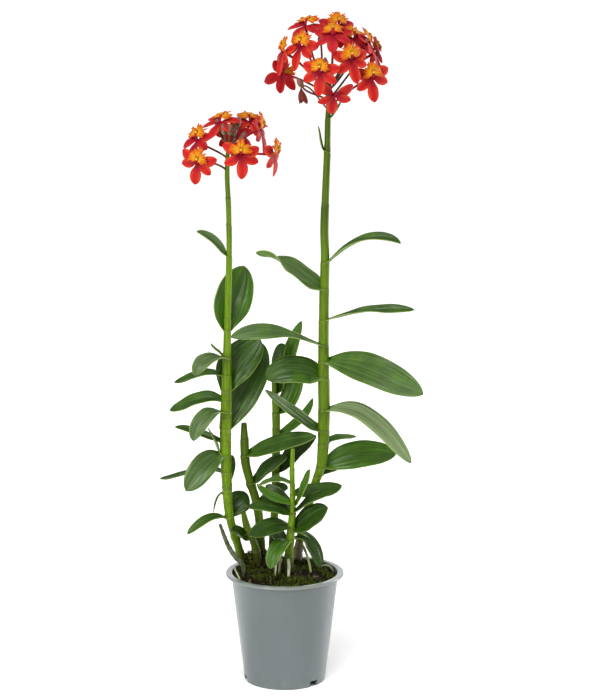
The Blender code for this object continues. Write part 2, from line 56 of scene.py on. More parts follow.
# Canes: points up each one as (x, y, z, diameter), in millimetres
CANES = {
    "left_cane": (
        (-43, 15, 92, 8.0), (-43, 15, 104, 8.0), (-43, 15, 117, 8.0), (-47, 14, 132, 8.2),
        (-56, 8, 168, 8.6), (-58.5, 4, 202, 9.8), (-59.5, 0, 249, 11.0), (-58.3, 0, 294, 10.6),
        (-57.2, 0, 352, 7.2), (-56.2, 0, 388, 6.4), (-54.6, 0, 442, 5.2), (-55.1, 0, 487, 4.8),
        (-56.2, 0, 512, 4.6), (-56.0, 0, 530, 4.0), (-55.0, 0, 546, 2.8),
    ),
    "right_cane": (
        (12, 19, 94, 7.4), (12, 19, 106, 7.4), (12.6, 19, 120, 7.6), (16.5, 17, 147, 7.8),
        (30.5, 12, 200, 8.4), (37.6, 10, 224, 10.2), (39.6, 6, 275, 11.6), (39.2, 3, 330, 10.7),
        (39.3, 0, 385, 9.3), (40.3, 0, 436, 8.2), (39.6, 0, 462, 7.8), (40.5, 0, 492, 7.2),
        (42.3, 0, 538, 6.0), (42.8, 0, 572, 5.0), (43.6, 0, 590, 4.0), (44.4, 0, 606, 2.8),
    ),
    "middle_cane": (
        (-24, 22, 94, 8.0), (-24, 22, 106, 8.0), (-24, 22, 119, 8.0), (-26.5, 24, 162, 8.6),
        (-30.5, 24, 184, 8.6), (-35.5, 22, 201, 8.6), (-40, 20, 221, 8.6), (-41, 18, 245, 8.0),
        (-41.3, 18, 263, 5.0),
    ),
    "short_cane": (
        (-27, 6, 94, 7.8), (-27, 6, 106, 7.8), (-27.4, 6, 120, 8.0), (-30.5, 5, 138, 8.0),
        (-34.5, 4, 149, 8.0), (-38.5, 3, 159, 7.6), (-42, 1, 174, 4.6),
    ),
    "back_cane": (
        (-13.5, 38, 92, 7.6), (-13.5, 38, 104, 7.6), (-13.5, 38, 117, 7.6), (-10, 38, 180, 7.7),
        (-9, 36, 243, 7.7), (-9, 36, 268, 7.6), (-11, 36, 304, 5.0),
    ),
    "young_cane": (
        (4.4, -14, 96, 8.2), (4.4, -14, 108, 8.2), (4.4, -14, 120, 8.4), (4.6, -14, 140, 8.4),
        (6, -15, 156, 8.0), (7.4, -16, 172, 6.6), (8.3, -16, 183, 5.4), (7.5, -16, 223, 4.6),
        (8.3, -16, 244, 3.4),
    ),
}

# Heights of the bare joints on each cane, in millimetres, besides those that carry a leaf
BARE_JOINTS = {
    "left_cane": (130, 148, 182, 201, 256.5, 272, 372, 467, 494),
    "right_cane": (134, 154, 176, 198, 486.6, 544),
    "middle_cane": (134, 156, 178, 246),
    "short_cane": (134, 152),
    "back_cane": (140, 172, 232, 252),
    "young_cane": (134, 222),
}

# How dark each cane is, from 0 to 1
CANE_AGE = {
    "left_cane": 0.0, "right_cane": 0.22, "middle_cane": 0.6, "short_cane": 0.65,
    "back_cane": 0.35, "young_cane": 0.05,
}

# A leaf: its cane, height of its joint, tip (x, y, z) and width in millimetres; in degrees how
# steeply it leaves the cane, how it points at its tip, how far its face turns to the front at
# the base and at the tip, and how deeply it folds; its width at the base as a share of the width
Leaf = namedtuple("Leaf", "cane joint tip width rise dip base_tilt tip_tilt fold base_share")
LEAVES = {
    "left_leaf_01": ("left_cane", 436, (-86, -10, 462), 13, 48, 15, 30, 30, 35, 0.3),
    "left_leaf_02": ("left_cane", 362, (-41, 30, 422), 40, 84, 62, 45, 45, 14, 0.3),
    "left_leaf_03": ("left_cane", 333, (-87, -30, 321), 18, 20, -95, 10, 25, 20, 0.5),
    "left_leaf_04": ("left_cane", 301, (-25, 22, 349), 38, 86, 40, 50, 50, 12, 0.3),
    "left_leaf_05": ("left_cane", 262, (-23, 40, 341), 36, 62, 74, 45, 50, 14, 0.35),
    "left_leaf_06": ("left_cane", 316, (-112, 24, 304), 15, 8, -18, -20, 5, 22, 0.4),
    "left_leaf_07": ("left_cane", 290, (-116, 10, 278), 21, 15, -18, 25, 35, 18, 0.4),
    "left_leaf_08": ("left_cane", 278, (-90, -34, 256), 20, 25, -85, 10, 25, 20, 0.5),
    "left_leaf_09": ("left_cane", 234, (-98, -30, 204), 27, -12, -48, 45, 55, 16, 0.4),
    "left_leaf_10": ("left_cane", 216, (-130, 57, 196), 15, 0, -8, -15, -5, 22, 0.4),
    "left_leaf_11": ("left_cane", 166, (-98, -16, 156), 13, 28, -35, 15, 25, 20, 0.4),
    "right_leaf_01": ("right_cane", 430, (115, -8, 450), 17, 48, -35, 0, 25, 22, 0.4),
    "right_leaf_02": ("right_cane", 404, (-28, -8, 441), 25, 33, 12, 50, 20, 16, 0.75),
    "right_leaf_03": ("right_cane", 372, (129, -4, 383), 17, 18, -3, -5, 30, 20, 0.4),
    "right_leaf_04": ("right_cane", 346, (-53, -14, 357), 22, 24, -18, 0, 40, 16, 0.5),
    "right_leaf_05": ("right_cane", 330, (135.5, -57, 308), 34, 2, -18, 50, 55, 12, 0.3),
    "right_leaf_06": ("right_cane", 313, (-17, -2, 311), 31, 30, -50, 55, 55, 12, 0.7),
    "right_leaf_07": ("right_cane", 280, (126, -32, 233), 23, 18, -50, 30, 38, 16, 0.4),
    "right_leaf_08": ("right_cane", 258, (-19, -16, 304), 17, 36, 42, 50, 40, 18, 0.7),
    "right_leaf_09": ("right_cane", 219, (114, 28, 229), 30, 24, -8, 55, 60, 12, 0.3),
    "back_leaf_01": ("back_cane", 291, (17, 46, 363), 16, 66, 64, 50, 50, 16, 0.4),
    "back_leaf_02": ("back_cane", 270, (17, 40, 318), 21, 38, 64, 60, 60, 14, 0.4),
    "back_leaf_03": ("back_cane", 208, (32, 40, 245), 22, 50, 30, 40, 40, 16, 0.4),
    "middle_leaf_01": ("middle_cane", 230, (31, -4, 254), 22, 22, 10, 45, 48, 16, 0.5),
    "middle_leaf_02": ("middle_cane", 200, (2, 6, 230), 23, 50, 24, 40, 40, 16, 0.5),
    "young_leaf_01": ("young_cane", 185, (25, -34, 227), 15, 62, 68, 50, 75, 14, 0.4),
    "young_leaf_02": ("young_cane", 179, (43, -34, 201), 17, 40, 5, 25, 35, 18, 0.4),
    "young_leaf_03": ("young_cane", 197, (58, 14, 199), 20, -4, 8, 30, 45, 16, 0.4),
    "young_leaf_04": ("young_cane", 160, (43, -30, 187), 26, 40, 30, 55, 60, 14, 0.4),
    "young_leaf_05": ("young_cane", 177, (-36, -30, 187), 17, 22, -12, 30, 35, 18, 0.5),
    "young_leaf_06": ("young_cane", 164, (-35, -42, 162), 20, 18, -12, 35, 50, 16, 0.5),
    "young_leaf_07": ("young_cane", 149, (-14, -46, 128), 18, 5, -80, 10, 25, 18, 0.5),
    "young_leaf_08": ("young_cane", 151, (36, -8, 118), 11, 5, -70, 10, 10, 20, 0.5),
    "young_leaf_09": ("young_cane", 209, (-27, -30, 209), 15, 28, -22, 20, -10, 18, 0.5),
}

# Small leaves and bracts that the plain model leaves out, in the same form
SMALL_LEAVES = {
    "small_leaf_01": ("left_cane", 248, (-111.5, 20, 258.8), 11, 12, 0, 0, 10, 22, 0.5),
    "small_leaf_02": ("left_cane", 234, (-76.8, -6, 262.9), 10, 70, 60, 20, 20, 22, 0.5),
    "small_leaf_03": ("left_cane", 193, (-73.2, 12, 171.4), 9, -20, -70, 10, 20, 20, 0.5),
    "small_leaf_04": ("left_cane", 199, (-53.6, 16, 230), 11, 70, 100, 50, 50, 20, 0.5),
    "small_leaf_05": ("left_cane", 169, (-36.3, 26, 182.5), 26, 62, -20, 40, 50, 14, 0.4),
    "small_leaf_06": ("right_cane", 244, (73.5, 40, 244.5), 9, 20, -4, 30, 30, 20, 0.5),
    "small_leaf_07": ("back_cane", 246, (28.4, 46, 283), 10, 30, 75, 60, 60, 18, 0.5),
    "small_leaf_08": ("middle_cane", 178, (3.3, 14, 196), 18, 34, -6, 45, 45, 16, 0.5),
    "small_leaf_09": ("young_cane", 158, (38.7, 4, 118.8), 8, -10, -85, 20, 20, 20, 0.5),
    "small_leaf_10": ("back_cane", 291, (1.3, 30, 340), 24, 62, 20, 60, 60, 14, 0.5),
    "small_leaf_11": ("right_cane", 210, (54.4, 30, 213), 9, 20, 0, 30, 30, 20, 0.5),
    "small_leaf_13": ("young_cane", 177, (-19, 4, 201.7), 17, 40, 24, 45, 45, 16, 0.5),
    "small_leaf_15": ("short_cane", 146, (-54, -8, 158), 15, 30, 0, 45, 50, 16, 0.5),
    "small_leaf_16": ("middle_cane", 150, (2, 4, 140), 15, 35, -40, 40, 50, 16, 0.5),
    "small_leaf_17": ("middle_cane", 140, (-44, 2, 152), 14, 40, 0, 40, 50, 16, 0.5),
    "small_leaf_14": ("young_cane", 188, (-27.5, -26, 210), 9, 24, 50, 60, 110, 14, 0.5),
    "bract_01": ("right_cane", 540, (33.5, -4, 565), 6, 60, 78, 40, 40, 20, 0.7),
    "bract_02": ("right_cane", 573, (56, -6, 590), 5, 50, 60, 40, 40, 20, 0.7),
    "small_leaf_12": ("left_cane", 335, (-73.9, 10, 346.7), 5, 40, 60, 0, 0, 20, 0.5),
}

# Extra turn of some blades about their midrib: where it starts and ends along the leaf, and
# how far it goes in degrees
LEAF_TWISTS = {
    "right_leaf_02": (0.5, 0.95, -62), "right_leaf_04": (0.3, 0.75, 22),
    "right_leaf_01": (0.35, 0.8, 12), "right_leaf_03": (0.35, 0.8, 10),
    "left_leaf_03": (0.2, 0.7, 18), "left_leaf_08": (0.2, 0.7, 18),
    "left_leaf_01": (-0.2, 0.2, 28), "left_leaf_06": (-0.2, 0.2, 36),
    "left_leaf_10": (-0.2, 0.2, 30), "young_leaf_08": (0.1, 0.5, 62),
    "small_leaf_09": (0.1, 0.5, 62), "small_leaf_01": (-0.2, 0.2, 25),
}

# How light a leaf is, how grey its painted sheen and how dark its painted shade, from 0 to 1,
# where it isn't the usual green
LEAF_FRESH = {
    "left_leaf_02": 0.3, "left_leaf_11": 0.5, "left_leaf_09": 0.25, "left_leaf_06": 0.0,
    "right_leaf_05": 0.2, "right_leaf_09": 0.45, "back_leaf_01": 0.95, "back_leaf_02": 0.95,
    "young_leaf_01": 0.6, "young_leaf_07": 0.5, "small_leaf_06": 0.95, "small_leaf_07": 0.95,
    "young_leaf_09": 0.4, "small_leaf_14": 0.9,
}
# Painted sheen: a grey-green wash standing in for the lights' reflection on the leaf's wax
LEAF_PAINTED_SHEEN = {
    "right_leaf_07": 0.8, "right_leaf_04": 0.2, "right_leaf_02": 0.25, "right_leaf_08": 0.2,
    "left_leaf_01": 0.36, "left_leaf_03": 0.36, "left_leaf_08": 0.34, "left_leaf_09": 0.24,
    "left_leaf_05": 0.16, "right_leaf_05": 0.16, "young_leaf_09": 0.2, "small_leaf_02": 0.5,
}
# Painted shade: leaves low down, among the others and at the back made darker, where shade falls
LEAF_PAINTED_SHADE = {
    "back_leaf_03": 0.5, "middle_leaf_01": 0.15, "middle_leaf_02": 0.4, "small_leaf_05": 0.45,
    "small_leaf_08": 0.5, "small_leaf_10": 0.5, "small_leaf_13": 0.55,
    "small_leaf_15": 0.5, "small_leaf_16": 0.65, "small_leaf_17": 0.6, "left_leaf_10": 0.25,
    "left_leaf_05": 0.12, "left_leaf_04": 0.12, "right_leaf_08": 0.2, "young_leaf_02": 0.3,
    "young_leaf_03": 0.3, "young_leaf_04": 0.38, "young_leaf_05": 0.25, "young_leaf_06": 0.42,
    "young_leaf_08": 0.3,
}

# A flower: its cane, height on it where the stalk starts, centre (x, y, z) in millimetres, and
# in degrees the way it faces (turn from the front towards +X, then tilt up) and its roll
Flower = namedtuple("Flower", "cane joint centre turn lift roll")
FLOWERS = {
    "right_flower_01": ("right_cane", 588, (34.8, -38, 618.2), -12, 8, 0),
    "right_flower_02": ("right_cane", 604, (47.4, -20, 653.2), 0, 46, 4),
    "right_flower_03": ("right_cane", 600, (64.6, -26, 630.3), 22, 12, 8),
    "right_flower_04": ("right_cane", 602, (16.3, -12, 642.1), -34, 20, -10),
    "right_flower_05": ("right_cane", 605, (20.8, 14, 661.6), -28, 66, -8),
    "right_flower_06": ("right_cane", 598, (-0.5, 2, 636.1), -70, 22, 0),
    "right_flower_07": ("right_cane", 594, (-1.7, 20, 614.1), -150, 0, 75),
    "right_flower_08": ("right_cane", 576, (48.5, -18, 595.9), 12, -25, 0),
    "right_flower_09": ("right_cane", 584, (85.6, -10, 612.0), 22, 4, 8),
    "right_flower_10": ("right_cane", 601, (82.5, 6, 644.7), 80, 30, 0),
    "right_flower_11": ("right_cane", 592, (90.0, 26, 634.0), 112, 14, 0),
    "left_flower_01": ("left_cane", 528, (-42.0, -28, 538.3), 4, 4, 0),
    "left_flower_02": ("left_cane", 522, (-84.6, -20, 530.4), -18, -8, -15),
    "left_flower_03": ("left_cane", 534, (-85.5, -2, 550.8), -40, 34, 0),
    "left_flower_04": ("left_cane", 545, (-63.0, 4, 568.0), -35, 62, 0),
    "left_flower_05": ("left_cane", 543, (-34.3, 26, 566.6), 25, 64, 0),
    "left_flower_06": ("left_cane", 538, (-23.7, -4, 561.0), 78, 10, 0),
    "left_flower_07": ("left_cane", 530, (-9.8, -16, 538.2), 70, 0, 6),
}

# Flowers at the back that the plain model leaves out, in the same form
EXTRA_FLOWERS = {
    "back_flower_01": ("right_cane", 605, (52.9, 24, 660.2), 24, 30, 0),
    "back_flower_03": ("right_cane", 605, (68.5, 14, 648.8), 40, 45, 0),
    "back_flower_02": ("left_cane", 540, (-50.0, 26, 552.0), 170, 16, 0),
}

# Wilted flowers: cane, height on it where the stalk starts, and crown (x, y, z) in millimetres
WILTED = {"wilted_flower": ("right_cane", 582, (16.5, -14, 602.7))}

# Buds: cane, height on it where the stalk starts, tip (x, y, z) in millimetres
BUDS = {
    "left_bud_01": ("left_cane", 545, (-67, 8, 573)),
    "left_bud_02": ("left_cane", 544, (-60, -5, 568)),
    "left_bud_03": ("left_cane", 545, (-53, -7, 568)),
    "left_bud_04": ("left_cane", 543, (-48, 3, 567)),
    "left_bud_05": ("left_cane", 544, (-44, 10, 574)),
    "left_bud_06": ("left_cane", 541, (-38, 2, 560)),
    "right_bud_01": ("right_cane", 600, (40, 4, 632)),
    "right_bud_03": ("right_cane", 604, (35.0, 6, 654.9)),
    "right_bud_02": ("right_cane", 590, (12.4, -8, 613)),
}

# Roots, strands, the dry sheath and the withered shoot: radius in millimetres, tints from 0
# to 1, and points (x, y, z) in millimetres
ROOTS = {
    "front_root": (1.6, (0.0, 0.0, 0.0), ((3.6, -20, 131), (4.4, -23, 124), (4, -26, 116),
                                         (4.2, -27, 109))),
    "side_root": (1.5, (0.1, 0.0, 0.0), ((-2.7, -15, 139), (-5.6, -18, 136), (-8, -20, 130),
                                        (-9.6, -22, 112))),
    "tan_root": (1.4, (0.0, 0.8, 0.0), ((-2.6, -18, 131), (-4.7, -20, 126), (-6, -22, 110))),
    "green_root": (1.4, (0.9, 0.0, 0.0), ((17.2, 9, 139), (20.5, 4, 134), (24.4, -3, 124),
                                         (27, -7, 110))),
    "rim_root": (1.2, (0.5, 0.1, 0.0), ((34, 17, 108), (37, 18, 112), (41, 18, 113.5),
                                       (46, 16, 113), (50, 14, 108))),
    "pale_strand": (0.9, (0.4, 0.1, 0.0), ((-50.6, -4, 117), (-49.6, -13, 116.6),
                                          (-46.6, -22, 113.6), (-43.4, -27, 107))),
    "dry_sheath": (5.4, (0.1, 0.9, 0.25), ((11.2, 18, 112), (12.6, 18, 122), (14.4, 17.4, 134),
                                         (16, 17, 143))),
    "withered_shoot": (2.6, (1.0, 0.0, 0.9), ((-41, -5, 104), (-42.4, -6, 119.6),
                                             (-51.4, -8, 131.7), (-57.4, -8, 142.1),
                                             (-62, -8, 154), (-65.4, -8, 164.1))),
}

# Pot: lengths in metres, steps round its wall, and where its notches are, in degrees
POT_HEIGHT = 112.5 * MM
POT_RIM_RADIUS = 60.0 * MM
POT_NECK_RADIUS = 54.6 * MM
POT_FOOT_RADIUS = 41.2 * MM
POT_WALL = 1.5 * MM
POT_LIP_HEIGHT = 2.6 * MM
POT_WALL_TOP = POT_HEIGHT - POT_LIP_HEIGHT
POT_FOOT_RECESS = 6.4 * MM
POT_FOOT_RING = 2.8 * MM
POT_STEPS = 144
NOTCH_WIDTH = 10.0 * MM
NOTCH_HEIGHT = 6.0 * MM
NOTCH_ANGLES = (45.0, -75.0, 165.0)
DRAIN_COUNT = 6
DRAIN_RADIUS = 4.0 * MM
DRAIN_CIRCLE = 24.0 * MM

# Canes: rings up each one, points round it, and how far the rim of a sheath rises towards
# its leaf, in metres
CANE_RINGS = 150
CANE_SIDES = 28
SHEATH_SLANT = 2.2 * MM

# Growing medium: heights and gap to the wall in metres, and rings and points round its mound
MEDIUM_EDGE_HEIGHT = 105.0 * MM
MEDIUM_CROWN_HEIGHT = 116.0 * MM
MEDIUM_GAP = 0.3 * MM
MEDIUM_RINGS = 54
MEDIUM_SIDES = 120
# How far from the pot's axis bark and moss lie, in metres, how far from a cane's skin, in
# millimetres, and how many leaflets a tuft of moss has
CHIP_REACH = 50 * MM
MOSS_REACH = 51 * MM
CANE_MARGIN = 0.5
MOSS_LEAFLETS = 7
# Ground heaped round the feet of the canes: x, y, height and spread, in millimetres
HEAPS = ((-38, 8, 18.0, 9.0), (-24, 16, 16.0, 10.0), (-12, 34, 8.0, 12.0), (13, 16, 6.0, 11.0),
         (30, 26, 5.0, 9.0), (4, -13, 2.0, 8.0))

# Flower parts, in millimetres and degrees. Tepals are the lowest sepal, two side sepals and two
# petals; a grid is the number of steps along and across a blade
TEPAL_ANGLES = (270.0, 205.0, 335.0, 152.0, 20.0)
TEPAL_LENGTHS = (23.0, 18.5, 18.5, 20.5, 20.5)
TEPAL_WIDTHS = (11.2, 9.6, 9.6, 11.2, 11.2)
TEPAL_GRID = (14, 8)
TEPAL_HALF_THICKNESS = 0.3
WILTED_TEPALS = 6
# Column: length, angle above the flower's face, radii from its foot up, and how far it bows
COLUMN_LENGTH = 9.0
COLUMN_RISE = 48.0
COLUMN_RADII = (1.3, 1.25, 1.2, 1.2, 1.25, 1.4, 1.65, 1.8, 1.2)
COLUMN_BOW = 1.2
STALK_RADIUS = 1.05
STALK_STEPS = 18
# Lip: steps round and out from its centre, spread to each side, radius where it starts, and
# how far it sits behind the column's end; the callus is its two raised ridges
LIP_GRID = (90, 7)
LIP_SPREAD = 172.0
LIP_HALF_THICKNESS = 0.26
LIP_THROAT = 0.9
LIP_BACK = 1.6
CALLUS_RADII = (0.3, 0.8, 0.9, 0.8, 0.6, 0.15)
CALLUS_LENGTH = 3.4
BUD_LENGTH = 12.5
BUD_RADIUS = 2.9
BUD_RINGS = 15

# Flowers without a lip, and how crimson a flower is, from 0 to 1, where it isn't the usual red
LIPLESS = ("right_flower_08",)
CRIMSON = {
    "right_flower_02": 0.5, "right_flower_05": 0.45, "right_flower_07": 0.4,
    "right_flower_10": 0.4, "right_flower_11": 0.3, "left_flower_03": 0.5,
    "left_flower_04": 0.3, "left_flower_06": 0.4, "back_flower_01": 0.5, "back_flower_02": 0.5,
}

# Leaf blade: steps along and across it, its pull at both ends, the shares of its length over
# which it widens and lets go of the cane, and its gaps to the cane's skin in millimetres
LEAF_GRID = (44, 26)
LEAF_LAUNCH = 0.36
LEAF_BASE_RUN = 0.4
LEAF_CLASP = 0.13
LEAF_SEAT_GAP = 0.5
LEAF_CLASP_GAP = 0.45
# Lengthwise pleats of a blade: depth as a share of its half width, and how close they are
PLEAT_DEPTH = 0.016
PLEATS = 17.0

# Camera: place in metres, downward tilt in degrees, and lens and sensor in millimetres, fitted
# to the pot's rim and foot in the photograph
CAMERA_PLACE = (0.0155, -2.1, 0.7216)
CAMERA_TILT = 10.26
CAMERA_LENS = 109.8
CAMERA_SENSOR = 36.0
# Radius of the floor in metres, and strength of the even light from all round
FLOOR_RADIUS = 60.0
WORLD_STRENGTH = 0.4
# Suns: name, strength, spread, bearing from the front and height above the floor in degrees
SUNS = (("key_light", 1.8, 36.0, -16.0, 60.0), ("fill_light", 0.3, 60.0, 50.0, 40.0))
# Softboxes: name, power in watts, width and height, and place
SOFTBOXES = (("left_softbox", 20.0, (0.14, 1.6), (-1.0, -1.6, 0.5)),
             ("right_softbox", 20.0, (0.3, 1.2), (1.5, 0.8, 0.6)),
             ("back_softbox", 8.0, (2.6, 0.9), (0.0, 2.2, 0.8)))


def paint(red, green, blue):
    """Turn a colour as seen on a screen, 0 to 255, into the linear values that shaders use."""
    return tuple(((c / 255 + 0.055) / 1.055) ** 2.4 if c > 10 else c / 3295
                 for c in (red, green, blue))


# Fixed colours of the fine detail
# Grey-green of the painted sheen on the leaves
PAINTED_LEAF_SHEEN = paint(134, 148, 110)
LEAF_MARGIN = paint(150, 168, 84)
LEAF_TIP = paint(72, 62, 30)
CANE_SPECK = paint(84, 66, 38)
# Pale colour of the painted highlight on the rims of the cane joints
CANE_RIM_HIGHLIGHT = paint(150, 140, 96)
DRY_CANE = paint(58, 44, 30)
PETAL_EDGE = paint(204, 84, 44)
PETAL_BLOTCH = paint(160, 12, 34)
# Lighter orange of the painted glints on the petals
PETAL_PAINTED_GLINT = paint(206, 86, 54)
CRIMSON_PETAL = paint(148, 6, 40)
WILTED_PETAL = paint(96, 52, 40)
LIP_TIP = paint(178, 46, 20)
LIP_BLOTCH = paint(190, 76, 10)
COLUMN_RED = paint(168, 20, 52)
COLUMN_CAP = paint(238, 190, 60)
COLUMN_DEEP = paint(64, 2, 20)
STALK_MAUVE = paint(96, 48, 52)
STALK_GREEN = paint(96, 84, 44)
BUD_DARK = paint(104, 62, 54)
BUD_LIGHT = paint(140, 96, 84)
BUD_GREEN = paint(112, 108, 56)
POT_DUST = paint(150, 146, 134)
# Paler grey of the painted highlight on the pot's lip
POT_RIM = paint(132, 138, 130)
BARK_FLECK = paint(128, 98, 58)
CHIP_BROWN = paint(52, 42, 24)
CHIP_LICHEN = paint(150, 138, 96)
MOSS_BRIGHT = paint(140, 150, 24)
MOSS_DARK = paint(26, 40, 8)
MOSS_SHADOW = paint(34, 48, 20)
ROOT_PALE = paint(186, 190, 166)
ROOT_GREEN = paint(150, 160, 96)
ROOT_TAN = paint(118, 100, 78)

# Scale of the fine grain along each axis, and radians of a wave across a whole blade
LEAF_STREAKS = (26.0, 1.6, 1.0)
CANE_FIBRES = (900.0, 900.0, 26.0)
CANE_PATCHES = (120.0, 120.0, 40.0)
BUD_LINES = (700.0, 700.0, 120.0)
LEAF_VEINS = 56.0
LIP_RAYS = 92.0


def colour_property(name, description, shade):
    """A colour that the user can change."""
    return FloatVectorProperty(name=name, description=description, default=shade,
                               subtype="COLOR", min=0.0, max=1.0)


def length_property(name, description, metres):
    """A length that the user can change."""
    return FloatProperty(name=name, description=description, default=metres, min=0.0,
                         unit="LENGTH", subtype="DISTANCE", precision=4)


class OrchidSizes(bpy.types.PropertyGroup):
    """Sizes of the fine detail."""

    leaf_thickness: length_property("Leaf Thickness", "Thickness of a leaf's blade", 0.7 * MM)
    fringe_depth: FloatProperty(name="Fringe Depth", description="Share of the lip that is cut",
                                default=0.26, min=0.0, max=0.8, subtype="FACTOR")
    moss_tufts: IntProperty(name="Moss Tufts", description="Number of tufts of moss",
                            default=2600, min=0)
    bark_chips: IntProperty(name="Bark Chips", description="Number of loose chips of bark",
                            default=230, min=0)


class OrchidColours(bpy.types.PropertyGroup):
    """Colours of the finishes."""

    pot: colour_property("Pot", "Moulded plastic of the pot", paint(98, 105, 106))
    leaf: colour_property("Leaf", "Upper side of the leaves", paint(38, 66, 8))
    leaf_light: colour_property("Young Leaf", "Thin and young parts of the leaves",
                                paint(80, 124, 8))
    leaf_under: colour_property("Leaf Underside", "Underside of the leaves",
                                paint(84, 112, 44))
    cane: colour_property("Cane", "Waxy skin of the canes", paint(106, 136, 18))
    cane_dark: colour_property("Old Cane", "Older and shaded parts of the canes",
                               paint(58, 74, 12))
    petal: colour_property("Petal", "Sepals and petals", paint(176, 30, 20))
    petal_heart: colour_property("Petal Heart", "Base of the petals and the column",
                                 paint(122, 2, 34))
    lip: colour_property("Lip", "Fringed lip", paint(182, 96, 4))
    lip_heart: colour_property("Lip Heart", "Raised centre of the lip", paint(196, 148, 8))
    moss: colour_property("Moss", "Moss on the growing medium", paint(56, 66, 8))
    bark: colour_property("Bark", "Bark and peat", paint(24, 20, 7))


# Finishes


class Finish:
    """A Principled finish: its nodes, and the colour that its layers build up."""

    def __init__(self, name, roughness, **constants):
        """Make the shader and set its constants on its own sockets."""
        self.material = bpy.data.materials.new(name)
        self.material.use_nodes = True
        self.tree = self.material.node_tree
        self.shader = self.tree.nodes["Principled BSDF"]
        self.shader.inputs["Roughness"].default_value = roughness
        for socket, value in constants.items():
            self.shader.inputs[socket.replace("_", " ")].default_value = value
        self.colour = None

    def feed(self, source, target):
        """Feed a socket from another one, or set it to a plain value."""
        if isinstance(source, bpy.types.NodeSocket):
            self.tree.links.new(source, target)
        elif target.type == "RGBA":
            target.default_value = (*source, 1.0)
        else:
            target.default_value = source

    def node(self, kind, sockets, output=0, **settings):
        """Add a node, feed its sockets and return one of its outputs."""
        made = self.tree.nodes.new("ShaderNode" + kind)
        for key, value in settings.items():
            setattr(made, key, value)
        for key, value in sockets.items():
            self.feed(value, made.inputs[key])
        return made.outputs[output]

    def mixed(self, factor, first, second):
        """Blend two colours."""
        return self.node("Mix", {0: factor, 6: first, 7: second}, 2, data_type="RGBA")

    def layer(self, factor, colour):
        """Lay a colour over those laid so far."""
        self.colour = self.mixed(factor, self.colour, colour)

    def sums(self, kind, first, second=0.0):
        """One step of arithmetic."""
        return self.node("Math", {0: first, 1: second}, operation=kind)

    def times(self, first, second):
        """Multiply two values."""
        return self.sums("MULTIPLY", first, second)

    def plus(self, first, second):
        """Add two values."""
        return self.sums("ADD", first, second)

    def waves(self, across, turns):
        """Ups and downs across a blade."""
        return self.sums("SINE", self.times(across, turns))

    def span(self, value, low, high, out_low=0.0, out_high=1.0):
        """Stretch a range of values onto another one, with smooth ends."""
        return self.node("MapRange", {"Value": value, "From Min": low, "From Max": high,
                                      "To Min": out_low, "To Max": out_high},
                         "Result", interpolation_type="SMOOTHSTEP")

    def place(self, kind="Object", scale=(1.0, 1.0, 1.0)):
        """Coordinates of a point on the piece, in metres, or on its own blade."""
        coordinates = self.node("TexCoord", {}, kind)
        return self.node("Mapping", {"Vector": coordinates, "Scale": scale})

    def clouds(self, place, scale, detail=3.0):
        """Soft noise from 0 to 1."""
        return self.node("TexNoise", {"Vector": place, "Scale": scale, "Detail": detail}, "Fac")

    def cells(self, place, scale):
        """Distance from the middle of small cells."""
        return self.node("TexVoronoi", {"Vector": place, "Scale": scale}, "Distance")

    def parts(self, place):
        """Split a place into its three coordinates."""
        split = self.node("SeparateXYZ", {0: place}).node
        return split.outputs[0], split.outputs[1], split.outputs[2]

    def blade_axes(self):
        """How far a point is from its blade's midrib, 0 to 1, how far along, and side to side."""
        side, along, _ = self.parts(self.place("UV"))
        off_middle = self.sums("ABSOLUTE", self.sums("SUBTRACT", side, 0.5))
        return self.times(off_middle, 2.0), along, side

    def tints(self):
        """The three tints kept at each point of a piece."""
        kept = self.node("Attribute", {}, "Color", attribute_name="tint")
        split = self.node("SeparateColor", {0: kept}).node
        return split.outputs[0], split.outputs[1], split.outputs[2]

    def relief(self, height, distance, strength=1.0):
        """Raise the surface by a height map."""
        normal = self.node("Bump", {"Strength": strength, "Distance": distance, "Height": height})
        self.feed(normal, self.shader.inputs["Normal"])

    def done(self, roughness=None):
        """Feed the colour, and a roughness that varies, to the shader."""
        self.feed(self.colour, self.shader.inputs["Base Color"])
        if roughness is not None:
            self.feed(roughness, self.shader.inputs["Roughness"])
        return self.material


def scaled(colour, share):
    """A darker or lighter version of a colour."""
    return tuple(min(1.0, c * share) for c in colour)


